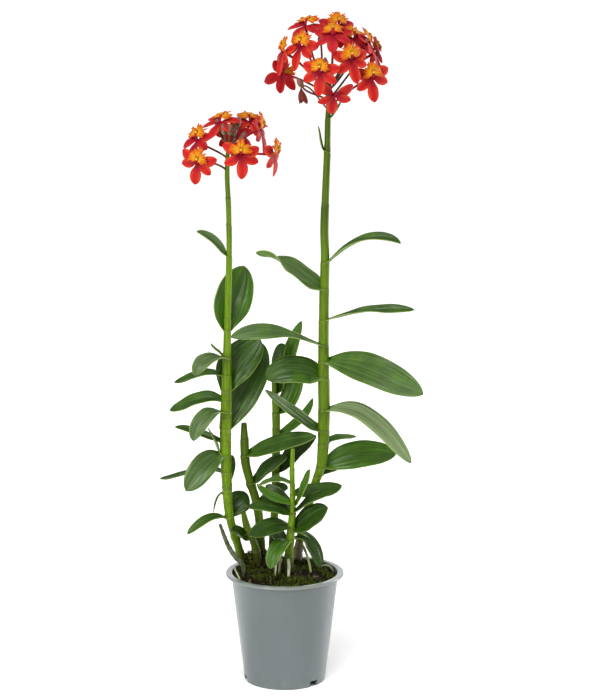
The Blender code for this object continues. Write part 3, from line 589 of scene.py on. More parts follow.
def leaf_finish(name, colours, upper):
    """Waxy leaf: parallel veins, a pale midrib, a thin pale margin, lighter patches, a painted
    sheen and painted shade.
    """
    skin = Finish(name, 0.4, Specular_IOR_Level=0.28, Coat_Weight=0.15 if upper else 0.0,
                  Coat_Roughness=0.24)
    base = colours.leaf if upper else colours.leaf_under
    across, along, side = skin.blade_axes()
    # bloom is each leaf's painted sheen, shade its painted shade
    fresh, bloom, shade = skin.tints()
    place = skin.place()
    streaks = skin.clouds(skin.place("UV", LEAF_STREAKS), 1.0, 4.0)
    veins = skin.waves(side, LEAF_VEINS)
    skin.colour = base
    skin.layer(skin.span(skin.clouds(place, 55.0), 0.35, 0.7, 0.0, 0.5), colours.leaf_light)
    skin.layer(fresh, colours.leaf_light)
    skin.layer(skin.span(streaks, 0.4, 0.62, 0.5, 0.0), scaled(base, 0.4))
    skin.layer(skin.span(veins, 0.3, 1.0, 0.0, 0.32), scaled(base, 2.1))
    skin.layer(skin.span(across, 0.02, 0.075, 0.75, 0.0), scaled(base, 2.6))
    skin.layer(skin.times(skin.span(across, 0.06, 0.15, 0.35, 0.0), 0.8), scaled(base, 0.4))
    # Painted sheen: grey-green streaks where the lights would reflect
    skin.layer(skin.times(bloom, skin.span(streaks, 0.3, 0.6, 0.35, 1.0)), PAINTED_LEAF_SHEEN)
    skin.layer(skin.span(across, 0.955, 0.99, 0.0, 0.65), LEAF_MARGIN)
    skin.layer(skin.span(along, 0.975, 1.0, 0.0, 0.7), LEAF_TIP)
    # Painted shade: the whole leaf darker
    skin.layer(shade, scaled(base, 0.3))
    height = skin.plus(skin.times(veins, 0.5), skin.times(skin.clouds(place, 900.0, 2.0), 0.35))
    midrib = skin.span(across, 0.0, 0.07, -1.2 if upper else 1.4, 0.0)
    skin.relief(skin.plus(height, midrib), 0.12 * MM)
    return skin.done(skin.span(skin.clouds(place, 140.0, 2.0), 0.3, 0.7, 0.3, 0.5))


def cane_finish(colours):
    """Smooth waxy cane: fine upright fibres, darker with age, and a painted highlight on the rims
    of its joints.
    """
    skin = Finish("cane_skin", 0.42, Specular_IOR_Level=0.18)
    # rim is the painted highlight near the rim of each sheath
    old, rim, dry = skin.tints()
    fibres = skin.clouds(skin.place(scale=CANE_FIBRES), 1.0)
    patches = skin.clouds(skin.place(scale=CANE_PATCHES), 1.0)
    specks = skin.span(skin.clouds(skin.place(), 700.0, 2.0), 0.66, 0.74, 0.0, 0.5)
    skin.colour = colours.cane
    pale = tuple(min(1.0, c * 1.3 + 0.01) for c in colours.cane)
    skin.layer(skin.span(patches, 0.35, 0.65, 0.0, 0.6), pale)
    skin.layer(skin.span(fibres, 0.38, 0.62, 0.45, 0.0), colours.cane_dark)
    skin.layer(old, colours.cane_dark)
    skin.layer(skin.times(specks, old), CANE_SPECK)
    skin.layer(rim, CANE_RIM_HIGHLIGHT)
    skin.layer(dry, DRY_CANE)
    skin.relief(fibres, 0.1 * MM, 0.7)
    return skin.done(skin.span(patches, 0.3, 0.7, 0.34, 0.55))


def petal_finish(colours):
    """Crystalline red petal: crimson at the heart, orange towards the edge, with painted glints
    and painted shade along its midrib.
    """
    skin = Finish("petal_skin", 0.5, Specular_IOR_Level=0.22, Subsurface_Weight=0.1,
                  Subsurface_Scale=1.2 * MM)
    across, along, side = skin.blade_axes()
    tired, crimson, _ = skin.tints()
    place = skin.place()
    grain = skin.cells(place, 2600.0)
    skin.colour = colours.petal
    skin.layer(skin.span(across, 0.3, 1.0, 0.0, 0.7), PETAL_EDGE)
    skin.layer(skin.span(along, 0.0, 0.62, 1.0, 0.0), colours.petal_heart)
    # Painted shade: darker along the midrib
    skin.layer(skin.span(across, 0.0, 0.16, 0.45, 0.0), colours.petal_heart)
    skin.layer(skin.span(skin.clouds(place, 260.0), 0.4, 0.7, 0.0, 0.3), PETAL_BLOTCH)
    # Painted glints: lighter orange at the middle of each small cell
    skin.layer(skin.span(grain, 0.0, 0.35, 0.22, 0.0), PETAL_PAINTED_GLINT)
    skin.layer(crimson, CRIMSON_PETAL)
    skin.layer(tired, WILTED_PETAL)
    skin.relief(skin.plus(grain, skin.times(skin.waves(side, 50.0), 0.35)), 0.12 * MM, 0.8)
    return skin.done(skin.span(grain, 0.0, 0.6, 0.36, 0.62))


def lip_finish(colours):
    """Orange lip with a yellow centre, red-orange at the tips of its fringe."""
    skin = Finish("lip_skin", 0.48, Specular_IOR_Level=0.22, Subsurface_Weight=0.1,
                  Subsurface_Scale=1.2 * MM)
    _, along, side = skin.blade_axes()
    place = skin.place()
    reach = skin.plus(along, skin.times(skin.waves(side, LIP_RAYS), 0.14))
    skin.colour = colours.lip_heart
    skin.layer(skin.span(reach, 0.3, 0.62), colours.lip)
    skin.layer(skin.span(along, 0.8, 1.0, 0.0, 0.9), LIP_TIP)
    skin.layer(skin.span(skin.clouds(place, 420.0), 0.5, 0.72, 0.0, 0.55), LIP_BLOTCH)
    skin.layer(skin.span(along, 0.1, 0.2, 0.75, 0.0), colours.petal_heart)
    skin.relief(skin.cells(place, 2400.0), 0.12 * MM, 0.8)
    return skin.done()


def stalk_finish(colours):
    """Dark crimson column with a yellow cap, greenish and brown along the stalk."""
    skin = Finish("stalk_skin", 0.46, Specular_IOR_Level=0.2)
    stalk, cap, deep = skin.tints()
    place = skin.place()
    green = skin.mixed(skin.span(skin.clouds(place, 220.0), 0.4, 0.62), STALK_MAUVE, STALK_GREEN)
    skin.colour = colours.petal_heart
    skin.layer(skin.span(skin.clouds(place, 300.0, 2.0), 0.35, 0.65), COLUMN_RED)
    skin.layer(stalk, green)
    skin.layer(cap, COLUMN_CAP)
    skin.layer(deep, COLUMN_DEEP)
    skin.relief(skin.clouds(place, 1500.0, 2.0), 0.08 * MM, 0.6)
    return skin.done()


def bud_finish():
    """Closed bud: mauve-brown over green, with fine lengthwise lines."""
    skin = Finish("bud_skin", 0.48, Specular_IOR_Level=0.4, Sheen_Weight=0.1,
                  Sheen_Roughness=0.4)
    green, _, _ = skin.tints()
    place = skin.place(scale=BUD_LINES)
    skin.colour = BUD_DARK
    skin.layer(skin.span(skin.clouds(place, 1.0), 0.35, 0.65), BUD_LIGHT)
    skin.layer(green, BUD_GREEN)
    skin.relief(skin.clouds(place, 1.0, 2.0), 0.15 * MM, 0.8)
    return skin.done()


def pot_finish(colours):
    """Moulded satin plastic, with a painted highlight on its rim, painted shade under it and dust
    near the foot.
    """
    skin = Finish("pot_plastic", 0.24, Specular_IOR_Level=0.55)
    place = skin.place()
    _, _, height = skin.parts(place)
    dust = skin.times(skin.span(height, 0.0, 20 * MM, 0.1, 0.0),
                      skin.span(skin.clouds(place, 160.0, 4.0), 0.45, 0.65))
    # rim: the lip, made lighter as a painted highlight where the light falls on it
    rim = skin.span(height, POT_WALL_TOP - 0.3 * MM, POT_WALL_TOP + 0.3 * MM)
    # Painted shade under the lip, darkest just beneath it
    under_lip_shade = skin.times(skin.span(height, POT_WALL_TOP - 5.0 * MM, POT_WALL_TOP, 0.0, 0.4),
                       skin.sums("SUBTRACT", 1.0, rim))
    skin.colour = scaled(colours.pot, 0.95)
    skin.layer(skin.span(skin.clouds(place, 18.0, 1.0), 0.2, 0.8), scaled(colours.pot, 1.05))
    skin.layer(dust, POT_DUST)
    # Painted shade under the lip
    skin.layer(under_lip_shade, scaled(colours.pot, 0.5))
    # Painted highlight on the lip
    skin.layer(skin.times(rim, 0.5), POT_RIM)
    skin.relief(skin.clouds(place, 500.0, 1.0), 0.02 * MM, 0.15)
    return skin.done()


def medium_finish(colours):
    """Dark peat and bark dust with threads of moss."""
    skin = Finish("peat", 0.92, Specular_IOR_Level=0.2)
    place = skin.place()
    green, _, _ = skin.tints()
    grains = skin.clouds(place, 420.0, 5.0)
    mossy = skin.times(green, skin.span(skin.clouds(place, 600.0), 0.4, 0.6))
    skin.colour = scaled(colours.bark, 0.35)
    skin.layer(skin.span(grains, 0.35, 0.65), scaled(colours.bark, 1.5))
    skin.layer(skin.span(skin.clouds(place, 900.0, 2.0), 0.62, 0.7, 0.0, 0.7), BARK_FLECK)
    skin.layer(mossy, scaled(colours.moss, 0.6))
    skin.relief(grains, 0.8 * MM)
    return skin.done()


def tinted_finish(name, first, second, third, roughness, grain):
    """Dry or mossy stuff whose three tints blend from piece to piece."""
    skin = Finish(name, roughness, Specular_IOR_Level=0.3)
    spots = skin.clouds(skin.place(), grain, 4.0)
    skin.colour = first
    for tint, colour in zip(skin.tints(), (second, third, MOSS_SHADOW)):
        skin.layer(tint, colour)
    skin.layer(skin.span(spots, 0.35, 0.65, 0.5, 0.0), scaled(first, 0.4))
    skin.relief(spots, 0.25 * MM)
    return skin.done()


# Shape building


def add_object(name, data):
    """Put a mesh, a light or a camera into the scene."""
    made = bpy.data.objects.new(name, data)
    bpy.context.scene.collection.objects.link(made)
    return made


def level(turn):
    """Level direction at an angle in radians."""
    return Vector((math.cos(turn), math.sin(turn), 0.0))


class Skin:
    """Points with their place on a blade and their tints, and the faces between them."""

    def __init__(self):
        self.points = []
        self.faces = []
        self.slots = []
        self.places = []
        self.tints = []

    def point(self, spot, place=(0.5, 0.5), tint=(0.0, 0.0, 0.0)):
        """Add a point and return its number."""
        self.points.append(spot)
        self.places.append(place)
        self.tints.append(tint)
        return len(self.points) - 1

    def face(self, corners, slot=0):
        """Add a face between numbered points."""
        self.faces.append(corners)
        self.slots.append(slot)

    def bridge(self, rows, closed=False, slot=0):
        """Join rows of points with four-sided faces."""
        for low, high in zip(rows, rows[1:]):
            count = len(low)
            for j in range(count if closed else count - 1):
                k = (j + 1) % count
                self.face((low[j], low[k], high[k], high[j]), slot)

    def tube(self, spots, radii, sides, tints=None, slot=0, squash=None):
        """Sweep a round section along a path and close both ends."""
        rows = []
        side = None
        for i, (spot, radius) in enumerate(zip(spots, radii)):
            before = spots[max(i - 1, 0)]
            after = spots[min(i + 1, len(spots) - 1)]
            ahead = (after - before).normalized()
            if side is None:
                side = ahead.orthogonal().normalized()
            side = (side - ahead * side.dot(ahead)).normalized()
            other = ahead.cross(side)
            row = []
            for k in range(sides):
                turn = math.tau * k / sides
                reach = radius if squash is None else radius * squash(i, turn)
                where = spot + (side * math.cos(turn) + other * math.sin(turn)) * reach
                row.append(self.point(where, (k / sides, i / max(len(spots) - 1, 1)),
                                      tints[i] if tints else (0.0, 0.0, 0.0)))
            rows.append(row)
        self.bridge(rows, closed=True, slot=slot)
        self.cap(rows, slot)

    def cap(self, rows, slot=0):
        """Close both ends of a tube."""
        self.face(tuple(reversed(rows[0])), slot)
        self.face(tuple(rows[-1]), slot)

    def build(self, name, materials, sharp=None):
        """Make the object; sharp is the angle in degrees above which an edge stays sharp."""
        mesh = bpy.data.meshes.new(name)
        mesh.from_pydata([tuple(p) for p in self.points], [], self.faces)
        layer = mesh.uv_layers.new(name="UVMap")
        for loop in mesh.loops:
            layer.data[loop.index].uv = self.places[loop.vertex_index]
        tint = mesh.color_attributes.new(name="tint", type="FLOAT_COLOR", domain="POINT")
        for i, shade in enumerate(self.tints):
            tint.data[i].color = (*shade, 1.0)
        for polygon, slot in zip(mesh.polygons, self.slots):
            polygon.material_index = slot
        for item in materials:
            mesh.materials.append(item)
        mesh.shade_smooth()
        if sharp:
            mesh.set_sharp_from_angle(angle=math.radians(sharp))
        return add_object(name, mesh)


def finish_piece(piece, slot, *nodes):
    """Let a piece ride with the plant and stand for its plain nodes; the slot is not used."""
    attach(piece, BODY)
    if nodes:
        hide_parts(*nodes)


def hermite(start, end, start_slope, end_slope, t):
    """Point on a cubic with the given ends and slopes."""
    return (start * (2 * t**3 - 3 * t**2 + 1) + start_slope * (t**3 - 2 * t**2 + t)
            + end * (3 * t**2 - 2 * t**3) + end_slope * (t**3 - t**2))


def ease(low, high, value):
    """Rise from 0 to 1 between two values."""
    share = min(max((value - low) / (high - low), 0.0), 1.0)
    return share * share * (3 - 2 * share)


def cane_point(cane, height):
    """Centre and radius of a cane, in metres, at a height in millimetres."""
    rows = [Vector(row) for row in CANES[cane]]
    last = len(rows) - 2
    k = max(i for i in range(last + 1) if rows[i].z <= height or i == 0)
    before, low = rows[max(k - 1, 0)], rows[k]
    high, after = rows[k + 1], rows[min(k + 2, last + 1)]
    t = min((height - low.z) / (high.z - low.z), 1.0)
    rise = high.z - low.z
    low_slope = (high - before) * rise / (high.z - before.z)
    high_slope = (after - low) * rise / (after.z - low.z)
    x, y, _, diameter = hermite(low, high, low_slope, high_slope, t)
    return Vector((x, y, height)) * MM, diameter * MM / 2


def heading_frame(start, end):
    """Level heading from one point to another, and the level direction across it."""
    heading = Vector((end.x - start.x, end.y - start.y, 0.0)).normalized()
    return heading, Vector((heading.y, -heading.x, 0.0))


def pitched(heading, degrees):
    """Turn a level heading up by an angle."""
    angle = math.radians(degrees)
    return heading * math.cos(angle) + Vector((0.0, 0.0, math.sin(angle)))


def blade_frame(heading, across, ahead, tilt):
    """Directions out to the blade's edge and up from its face, turned about its midrib."""
    up = across.cross(ahead)
    turn = math.radians(tilt) * (1 if heading.x < 0 else -1)
    return (across * math.cos(turn) + up * math.sin(turn),
            up * math.cos(turn) - across * math.sin(turn))


def leaf_width_share(t, base_share):
    """Share of the half width along a leaf, from its clasping base to its pointed tip."""
    swell = math.sin(math.pi / 2 * min(t / LEAF_BASE_RUN, 1.0)) ** 0.85
    base = base_share + (1 - base_share) * swell
    return base * max(0.0, 1 - max(0.0, (t - 0.45) / 0.55) ** 2.4) ** 0.62


def leaf_seat(leaf):
    """Where a leaf joins its cane, and the directions at its base."""
    centre, radius = cane_point(leaf.cane, leaf.joint)
    heading, across = heading_frame(centre, Vector(leaf.tip) * MM)
    launch = pitched(heading, leaf.rise)
    first_out, face = blade_frame(heading, across, launch, leaf.base_tilt)
    seat = Vector((launch.x - face.x, launch.y - face.y, 0.0)).normalized()
    return centre, radius, seat, heading, across, launch, first_out


def build_leaf(name, leaf, materials, thickness, tints):
    """Leaf whose base clasps the cane and whose blade folds, arches and waves a little."""
    centre, radius, seat, heading, across, launch, first_out = leaf_seat(leaf)
    # bloom is the leaf's painted sheen, shade its painted shade
    fresh, bloom, shade = tints
    tip = Vector(leaf.tip) * MM
    half = leaf.width * MM / 2
    fold = math.radians(leaf.fold * 1.3)
    start = centre + seat * (radius + LEAF_SEAT_GAP * MM)
    reach = (tip - start).length * 3 * LEAF_LAUNCH
    slopes = launch * reach, pitched(heading, leaf.dip) * reach
    draw = random.Random(name + "_blade")
    phase = draw.uniform(0, math.tau)
    ripple = draw.uniform(0.015, 0.05)
    droop = draw.uniform(0.02, 0.12)
    seat_side = Vector((-seat.y, seat.x, 0.0))
    if seat_side.dot(first_out) < 0:
        seat_side = -seat_side
    wrap = min(1.9, 1.25 * half * leaf.base_share / radius + 0.5)
    twist_from, twist_to, twist = LEAF_TWISTS.get(name, (0.0, 1.0, 0.0))
    skin = Skin()
    stations, columns = LEAF_GRID
    rows = []
    for i in range(stations + 1):
        t = (i / stations) ** 1.15
        spot = hermite(start, tip, *slopes, t)
        ahead = (hermite(start, tip, *slopes, t + 0.001) - spot).normalized()
        tilt = leaf.base_tilt + (leaf.tip_tilt - leaf.base_tilt) * t
        tilt += twist * ease(twist_from, twist_to, t)
        out, face = blade_frame(heading, across, ahead, tilt)
        wide = half * leaf_width_share(min(t, 0.9985), leaf.base_share)
        hold = 1 - ease(0.0, LEAF_CLASP, t)
        crease = math.sin(fold) * (0.6 + 0.4 * ease(0.9, 0.3, t))
        pale = min(fresh + 0.5 * (1 - ease(0.0, 0.2, t)), 1.0)
        row = []
        for j in range(columns + 1):
            s = 2 * j / columns - 1
            bend = crease * (math.sqrt(s * s + 0.004) - 0.063) - droop * s**4
            wave = ripple * s * abs(s) * math.sin(2.6 * math.tau * t + phase + (s > 0) * 1.7)
            pleat = PLEAT_DEPTH * math.cos(PLEATS * s)
            where = spot + out * wide * s * math.cos(fold) + face * wide * (bend + wave + pleat)
            turn = s * wrap
            clasp = centre + (seat * math.cos(turn) + seat_side * math.sin(turn)) * (
                radius + LEAF_CLASP_GAP * MM)
            clasp.z += 2.2 * MM * (1 - abs(s)) - 1.0 * MM + t * 9.0 * MM
            row.append(skin.point(where.lerp(clasp, hold), (j / columns, t),
                                  (pale, bloom, shade)))
        rows.append(row)
    skin.bridge(rows)
    piece = skin.build(name + "_blade", materials)
    shell = piece.modifiers.new("thickness", "SOLIDIFY")
    shell.thickness = thickness
    shell.offset = -1.0
    shell.material_offset = 1
    shell.material_offset_rim = 1
    return piece


def build_cane(name, seats, material):
    """Cane wrapped in leaf sheaths, each ending in a slightly raised, slanting rim."""
    low, high = CANES[name][0][2], CANES[name][-1][2]
    joints = sorted(seats + [(z, None) for z in BARE_JOINTS[name]], key=lambda joint: joint[0])
    heights = {low + (high - low) * i / CANE_RINGS for i in range(CANE_RINGS + 1)}
    for z, _ in joints:
        heights.update((z - 1.0, z - 0.2, z + 0.2, z + 1.4))
    draw = random.Random(name)
    ages = [draw.uniform(0.0, 0.34) for _ in range(len(joints) + 1)]
    skin = Skin()
    rows = []
    for z in sorted(h for h in heights if low <= h <= high):
        centre, radius = cane_point(name, z)
        above = next((k for k, joint in enumerate(joints) if joint[0] > z), len(joints))
        top, seat = joints[above] if above < len(joints) else (high + 20, None)
        under = joints[above - 1][0] if above else low
        share = (z - under) / max(top - under, 1.0)
        sheath = (0.1 + 0.32 * share + 0.12 * ease(0.9, 1.0, share)) * MM
        near_rim = ease(1.6, 0.4, abs(top - z)) if above < len(joints) else 0.0
        old = ages[above] * (0.4 + 0.6 * ease(0.0, 1.0, share)) + 0.45 * ease(150, 108, z)
        old += CANE_AGE[name] + 0.16 * ease(230, 300, z) + 0.3 * ease(440, 500, z)
        old += 0.3 * ease(1.4, 0.3, abs(z - under - 0.4))
        # The second tint is the painted highlight near each sheath's rim
        tint = (min(old, 1.0), near_rim * 0.14, ease(140, 112, z) * 0.8)
        row = []
        for k in range(CANE_SIDES):
            turn = math.tau * k / CANE_SIDES
            out = level(turn)
            slant = out.dot(seat) if seat else math.sin(turn + above)
            lift = slant * SHEATH_SLANT * ease(9.0, 0.0, top - z)
            ridge = 1 + 0.012 * math.sin(turn * 9 + above)
            where = centre + out * (radius * ridge + sheath) + Vector((0, 0, lift))
            row.append(skin.point(where, (k / CANE_SIDES, share), tint))
        rows.append(row)
    skin.bridge(rows, closed=True)
    skin.cap(rows)
    return skin.build(name + "_skin", [material], sharp=60)


def tepal_grid(skin, centre, direction, face, length, width, slot, cup, tint, seed):
    """Closed blade of one sepal or petal: two skins that meet along its edge."""
    side = direction.cross(face).normalized()
    draw = random.Random(seed)
    sway = draw.uniform(-0.06, 0.06)
    twist = math.radians(draw.uniform(-16, 16))
    stations, columns = TEPAL_GRID
    thick = TEPAL_HALF_THICKNESS * MM
    layers = []
    for layer in (1, -1):
        rows = []
        for i in range(stations + 1):
            t = i / stations
            share = 0.22 + 0.78 * ease(0.0, 0.5, t)
            share *= max(0.0, 1 - max(0.0, (min(t, 0.995) - 0.56) / 0.44) ** 2.2) ** 0.62
            lift = cup * math.sin(t * 2.2) - 0.16 * t * t
            spot = centre + direction * length * t + face * length * lift
            spot += side * length * sway * math.sin(t * 3.0)
            turn = twist * t
            out = side * math.cos(turn) + face * math.sin(turn)
            up = face * math.cos(turn) - side * math.sin(turn)
            row = []
            for j in range(columns + 1):
                s = 2 * j / columns - 1
                body = 1 - abs(s) ** 3
                curve = 0.24 * abs(s) ** 1.6 - 0.34 * s**4
                where = spot + out * width / 2 * share * s + up * width / 2 * share * curve
                where += up * layer * thick * body * (1 - t * t * 0.6)
                row.append(skin.point(where, (j / columns, t), tint))
            rows.append(row)
        layers.append(rows)
    weld_layers(skin, layers, slot)


def weld_layers(skin, layers, slot):
    """Join an upper and a lower layer of the same size into one closed body."""
    top, bottom = layers
    skin.bridge([list(reversed(row)) for row in top], slot=slot)
    skin.bridge(bottom, slot=slot)
    rims = list(zip(edge_loop(bottom), edge_loop(top)))
    for (low, high), (next_low, next_high) in zip(rims, rims[1:] + rims[:1]):
        skin.face((low, next_low, next_high, high), slot)


def edge_loop(rows):
    """Numbers of the points round the edge of a grid."""
    return ([row[0] for row in rows] + rows[-1][1:-1] + [row[-1] for row in reversed(rows)]
            + list(reversed(rows[0][1:-1])))


def lip_reach(turn, fringe, step):
    """Distance from the lip's centre to its edge: a middle lobe, two side lobes and teeth."""
    degrees = abs(math.degrees(turn))
    gap = 0.4 * math.exp(-((degrees - 38.0) / 9.0) ** 2)
    reach = 3.2 + 8.4 * (1 - gap) * ease(156.0, 104.0, degrees)
    tooth = fringe * reach * (0.5 + 0.5 * math.cos(math.tau * step / 3))
    return (reach - tooth) * MM


def build_lip(skin, centre, across, upward, face, fringe, slot, seed):
    """Lip with a fringed middle lobe and two fringed side lobes, and a raised yellow callus."""
    draw = random.Random(seed)
    wedges, rings = LIP_GRID
    spread = math.radians(LIP_SPREAD)
    flutter = random.Random(seed).uniform(0, math.tau)
    layers = []
    uneven = [draw.uniform(-0.34, 0.18) for _ in range(wedges // 3 + 2)]
    jitter = [uneven[(i + 1) // 3] for i in range(wedges + 1)]
    for layer in (1, -1):
        rows = []
        for i in range(wedges + 1):
            turn = -spread + 2 * spread * i / wedges
            smooth_reach = lip_reach(turn, 0.0, 0)
            row = []
            for j in range(rings + 1):
                share = j / rings
                cut = ease(0.62, 1.0, share)
                reach = smooth_reach + (lip_reach(turn, fringe, i) - smooth_reach) * cut
                reach *= 1 + jitter[i] * cut
                radius = LIP_THROAT * MM + reach * share
                out = across * math.sin(turn) + upward * math.cos(turn)
                fall = -0.22 * share**2.2 + 0.12 * share**2 * math.sin(turn * 9 + flutter)
                where = centre + out * radius + face * reach * fall
                where += face * layer * LIP_HALF_THICKNESS * MM * (1 - 0.85 * share)
                row.append(skin.point(where, (i / wedges, 0.12 + 0.88 * share)))
            rows.append(row)
        layers.append(rows)
    weld_layers(skin, layers, slot)
    steps = len(CALLUS_RADII) - 1
    for side in (-1, 1):
        base = centre + across * side * 1.1 * MM + face * 0.4 * MM
        spots = [base + upward * CALLUS_LENGTH * MM * k / steps
                 + face * MM * math.sin(k / steps * math.pi) for k in range(steps + 1)]
        first = len(skin.points)
        skin.tube(spots, [radius * MM for radius in CALLUS_RADII], 8, slot=slot)
        for index in range(first, len(skin.points)):
            skin.places[index] = (0.5, 0.14)


def flower_axes(turn, lift, roll):
    """The way a flower faces, and the level and upward directions in its plane."""
    turn, lift, roll = math.radians(turn), math.radians(lift), math.radians(roll)
    face = Vector((math.sin(turn) * math.cos(lift), -math.cos(turn) * math.cos(lift),
                   math.sin(lift)))
    across = level(turn)
    upward = face.cross(across) * -1
    if upward.z < 0:
        upward = -upward
    return (face, across * math.cos(roll) + upward * math.sin(roll),
            upward * math.cos(roll) - across * math.sin(roll))


def stalk_path(cane, joint, end, arrive, pull):
    """Points along a flower stalk, from its cane to the back of its flower or bud."""
    root, radius = cane_point(cane, joint)
    heading, _ = heading_frame(root, end)
    start = root + heading * (radius * 0.6)
    reach = (end - start).length * pull
    leave = pitched(heading, 40) * reach
    return [hermite(start, end, leave, arrive * reach, k / STALK_STEPS)
            for k in range(STALK_STEPS + 1)]


def build_flower(name, flower, materials, fringe):
    """Flower: stalk, five tepals, hooded column and fringed lip held uppermost."""
    seed = name + "_bloom"
    centre = Vector(flower.centre) * MM
    face, across, upward = flower_axes(flower.turn, flower.lift, flower.roll)
    draw = random.Random(seed)
    petal, lip, stalk = range(3)
    skin = Skin()
    spots = stalk_path(flower.cane, flower.joint, centre - face * 0.8 * MM, face, 1.0)
    shares = [k / STALK_STEPS for k in range(STALK_STEPS + 1)]
    skin.tube(spots, [STALK_RADIUS * MM * (0.95 + 0.35 * ease(0.5, 0.95, t)) for t in shares], 12,
              [(1 - ease(0.25, 0.8, t), 0.0, 0.0) for t in shares], stalk)
    for k, (angle, length, width) in enumerate(zip(TEPAL_ANGLES, TEPAL_LENGTHS, TEPAL_WIDTHS)):
        angle = math.radians(angle + draw.uniform(-6, 6))
        direction = across * math.cos(angle) + upward * math.sin(angle)
        direction = (direction - face * draw.uniform(-0.05, 0.14)).normalized()
        base = centre + face * (0.25 if k in (1, 2) else -0.25) * MM
        length = length * MM * draw.uniform(0.94, 1.04)
        tepal_grid(skin, base, direction, face, length, width * MM, petal,
                   draw.uniform(0.04, 0.17), (0.0, CRIMSON.get(name, 0.08), 0.0), f"{seed}{k}")
    rise = math.radians(COLUMN_RISE)
    axis = face * math.cos(rise) + upward * math.sin(rise)
    bow = face * math.sin(rise) - upward * math.cos(rise)
    steps = len(COLUMN_RADII) - 1
    tube = [centre + axis * COLUMN_LENGTH * MM * k / steps
            + bow * COLUMN_BOW * MM * math.sin(math.pi * k / steps) for k in range(steps + 1)]
    cap = 0.0 if name in LIPLESS else 0.8
    tones = [(0.0, 0.0, 0.1)] * (steps - 1) + [(0.0, cap * 0.6, 0.0), (0.0, cap, 0.0)]
    skin.tube(tube, [radius * MM for radius in COLUMN_RADII], 12, tones, stalk)
    if name not in LIPLESS:
        middle = centre + axis * (COLUMN_LENGTH - LIP_BACK) * MM
        build_lip(skin, middle, across, upward, face, fringe, lip, seed)
    return skin.build(seed, materials)


def build_wilted(name, cane, joint, crown, materials):
    """Wilted flower that hangs from its bent stalk."""
    crown = Vector(crown) * MM
    draw = random.Random(name)
    petal, _, stalk = range(3)
    skin = Skin()
    spots = stalk_path(cane, joint, crown, Vector((-0.6, -0.1, -0.8)), 0.9)
    skin.tube(spots, [0.8 * MM] * len(spots), 10, [(0.8, 0.0, 0.2)] * len(spots), stalk)
    for k in range(WILTED_TEPALS):
        turn = math.tau * k / WILTED_TEPALS
        out = level(turn)
        direction = (out * draw.uniform(0.35, 0.95) + Vector((0.12, 0.0, -1.0))).normalized()
        face = (out - direction * out.dot(direction)).normalized()
        tepal_grid(skin, crown, direction, face, draw.uniform(12, 18) * MM,
                   draw.uniform(4.6, 7.0) * MM, petal, -0.1, (0.9, 0.0, 0.0), f"{name}{k}")
    return skin.build(name, materials)


def build_bud(name, cane, joint, tip, materials):
    """Closed bud on its stalk: three keeled sepals folded to a point."""
    tip = Vector(tip) * MM
    root, _ = cane_point(cane, joint)
    lean = ((tip - root).normalized() + Vector((0, 0, 0.8))).normalized()
    base = tip - lean * BUD_LENGTH * MM
    bud, stalk = range(2)
    skin = Skin()
    spots = stalk_path(cane, joint, base + lean * MM, lean, 0.8)
    skin.tube(spots, [0.95 * MM] * len(spots), 10, [(0.9, 0.0, 0.0)] * len(spots), stalk)
    shares = [k / (BUD_RINGS - 1) for k in range(BUD_RINGS)]
    radii = [max(0.12, BUD_RADIUS * math.sin(math.pi * t**0.8) ** 0.75) * MM for t in shares]
    spots = [base + lean * BUD_LENGTH * MM * k / (BUD_RINGS - 1) for k in range(BUD_RINGS)]
    skin.tube(spots, radii, 18, [(1 - ease(0.0, 0.5, t), 0.0, 0.0) for t in shares], bud,
              squash=lambda i, turn: 1 + 0.07 * math.cos(3 * turn) - 0.05 * math.cos(6 * turn))
    return skin.build(name, materials)


def pot_inner_radius(height):
    """Radius inside the pot's tapered wall at a height."""
    share = height / POT_WALL_TOP
    return POT_FOOT_RADIUS + (POT_NECK_RADIUS - POT_FOOT_RADIUS) * share - POT_WALL


def medium_height(radius):
    """Height of the growing medium's mound at a distance from the pot's axis."""
    edge = pot_inner_radius(MEDIUM_EDGE_HEIGHT) - MEDIUM_GAP
    crown = MEDIUM_CROWN_HEIGHT - MEDIUM_EDGE_HEIGHT
    return MEDIUM_EDGE_HEIGHT + crown * (1 - min(radius / edge, 1.0) ** 2)


def rough_ground(x, y):
    """Height of the growing medium's lumpy surface at a place."""
    radius = math.hypot(x, y)
    spot = Vector((x, y, 0.0))
    lumps = noise.noise(spot * 90) * 1.8 + noise.noise(spot * 260) * 1.2
    for heap_x, heap_y, height, spread in HEAPS:
        apart = math.hypot(x / MM - heap_x, y / MM - heap_y)
        lumps += height * math.exp(-(apart / spread) ** 2) * ease(53 * MM, 45 * MM, radius)
    return medium_height(radius) + (lumps - 0.4) * MM


def moss_share(x, y):
    """How mossy the growing medium is at a place, from 0 to 1."""
    drift = noise.noise(Vector((x * 48 + 3.1, y * 48 - 1.7, 4.0)))
    return ease(-0.22, 0.3, drift + 0.1)


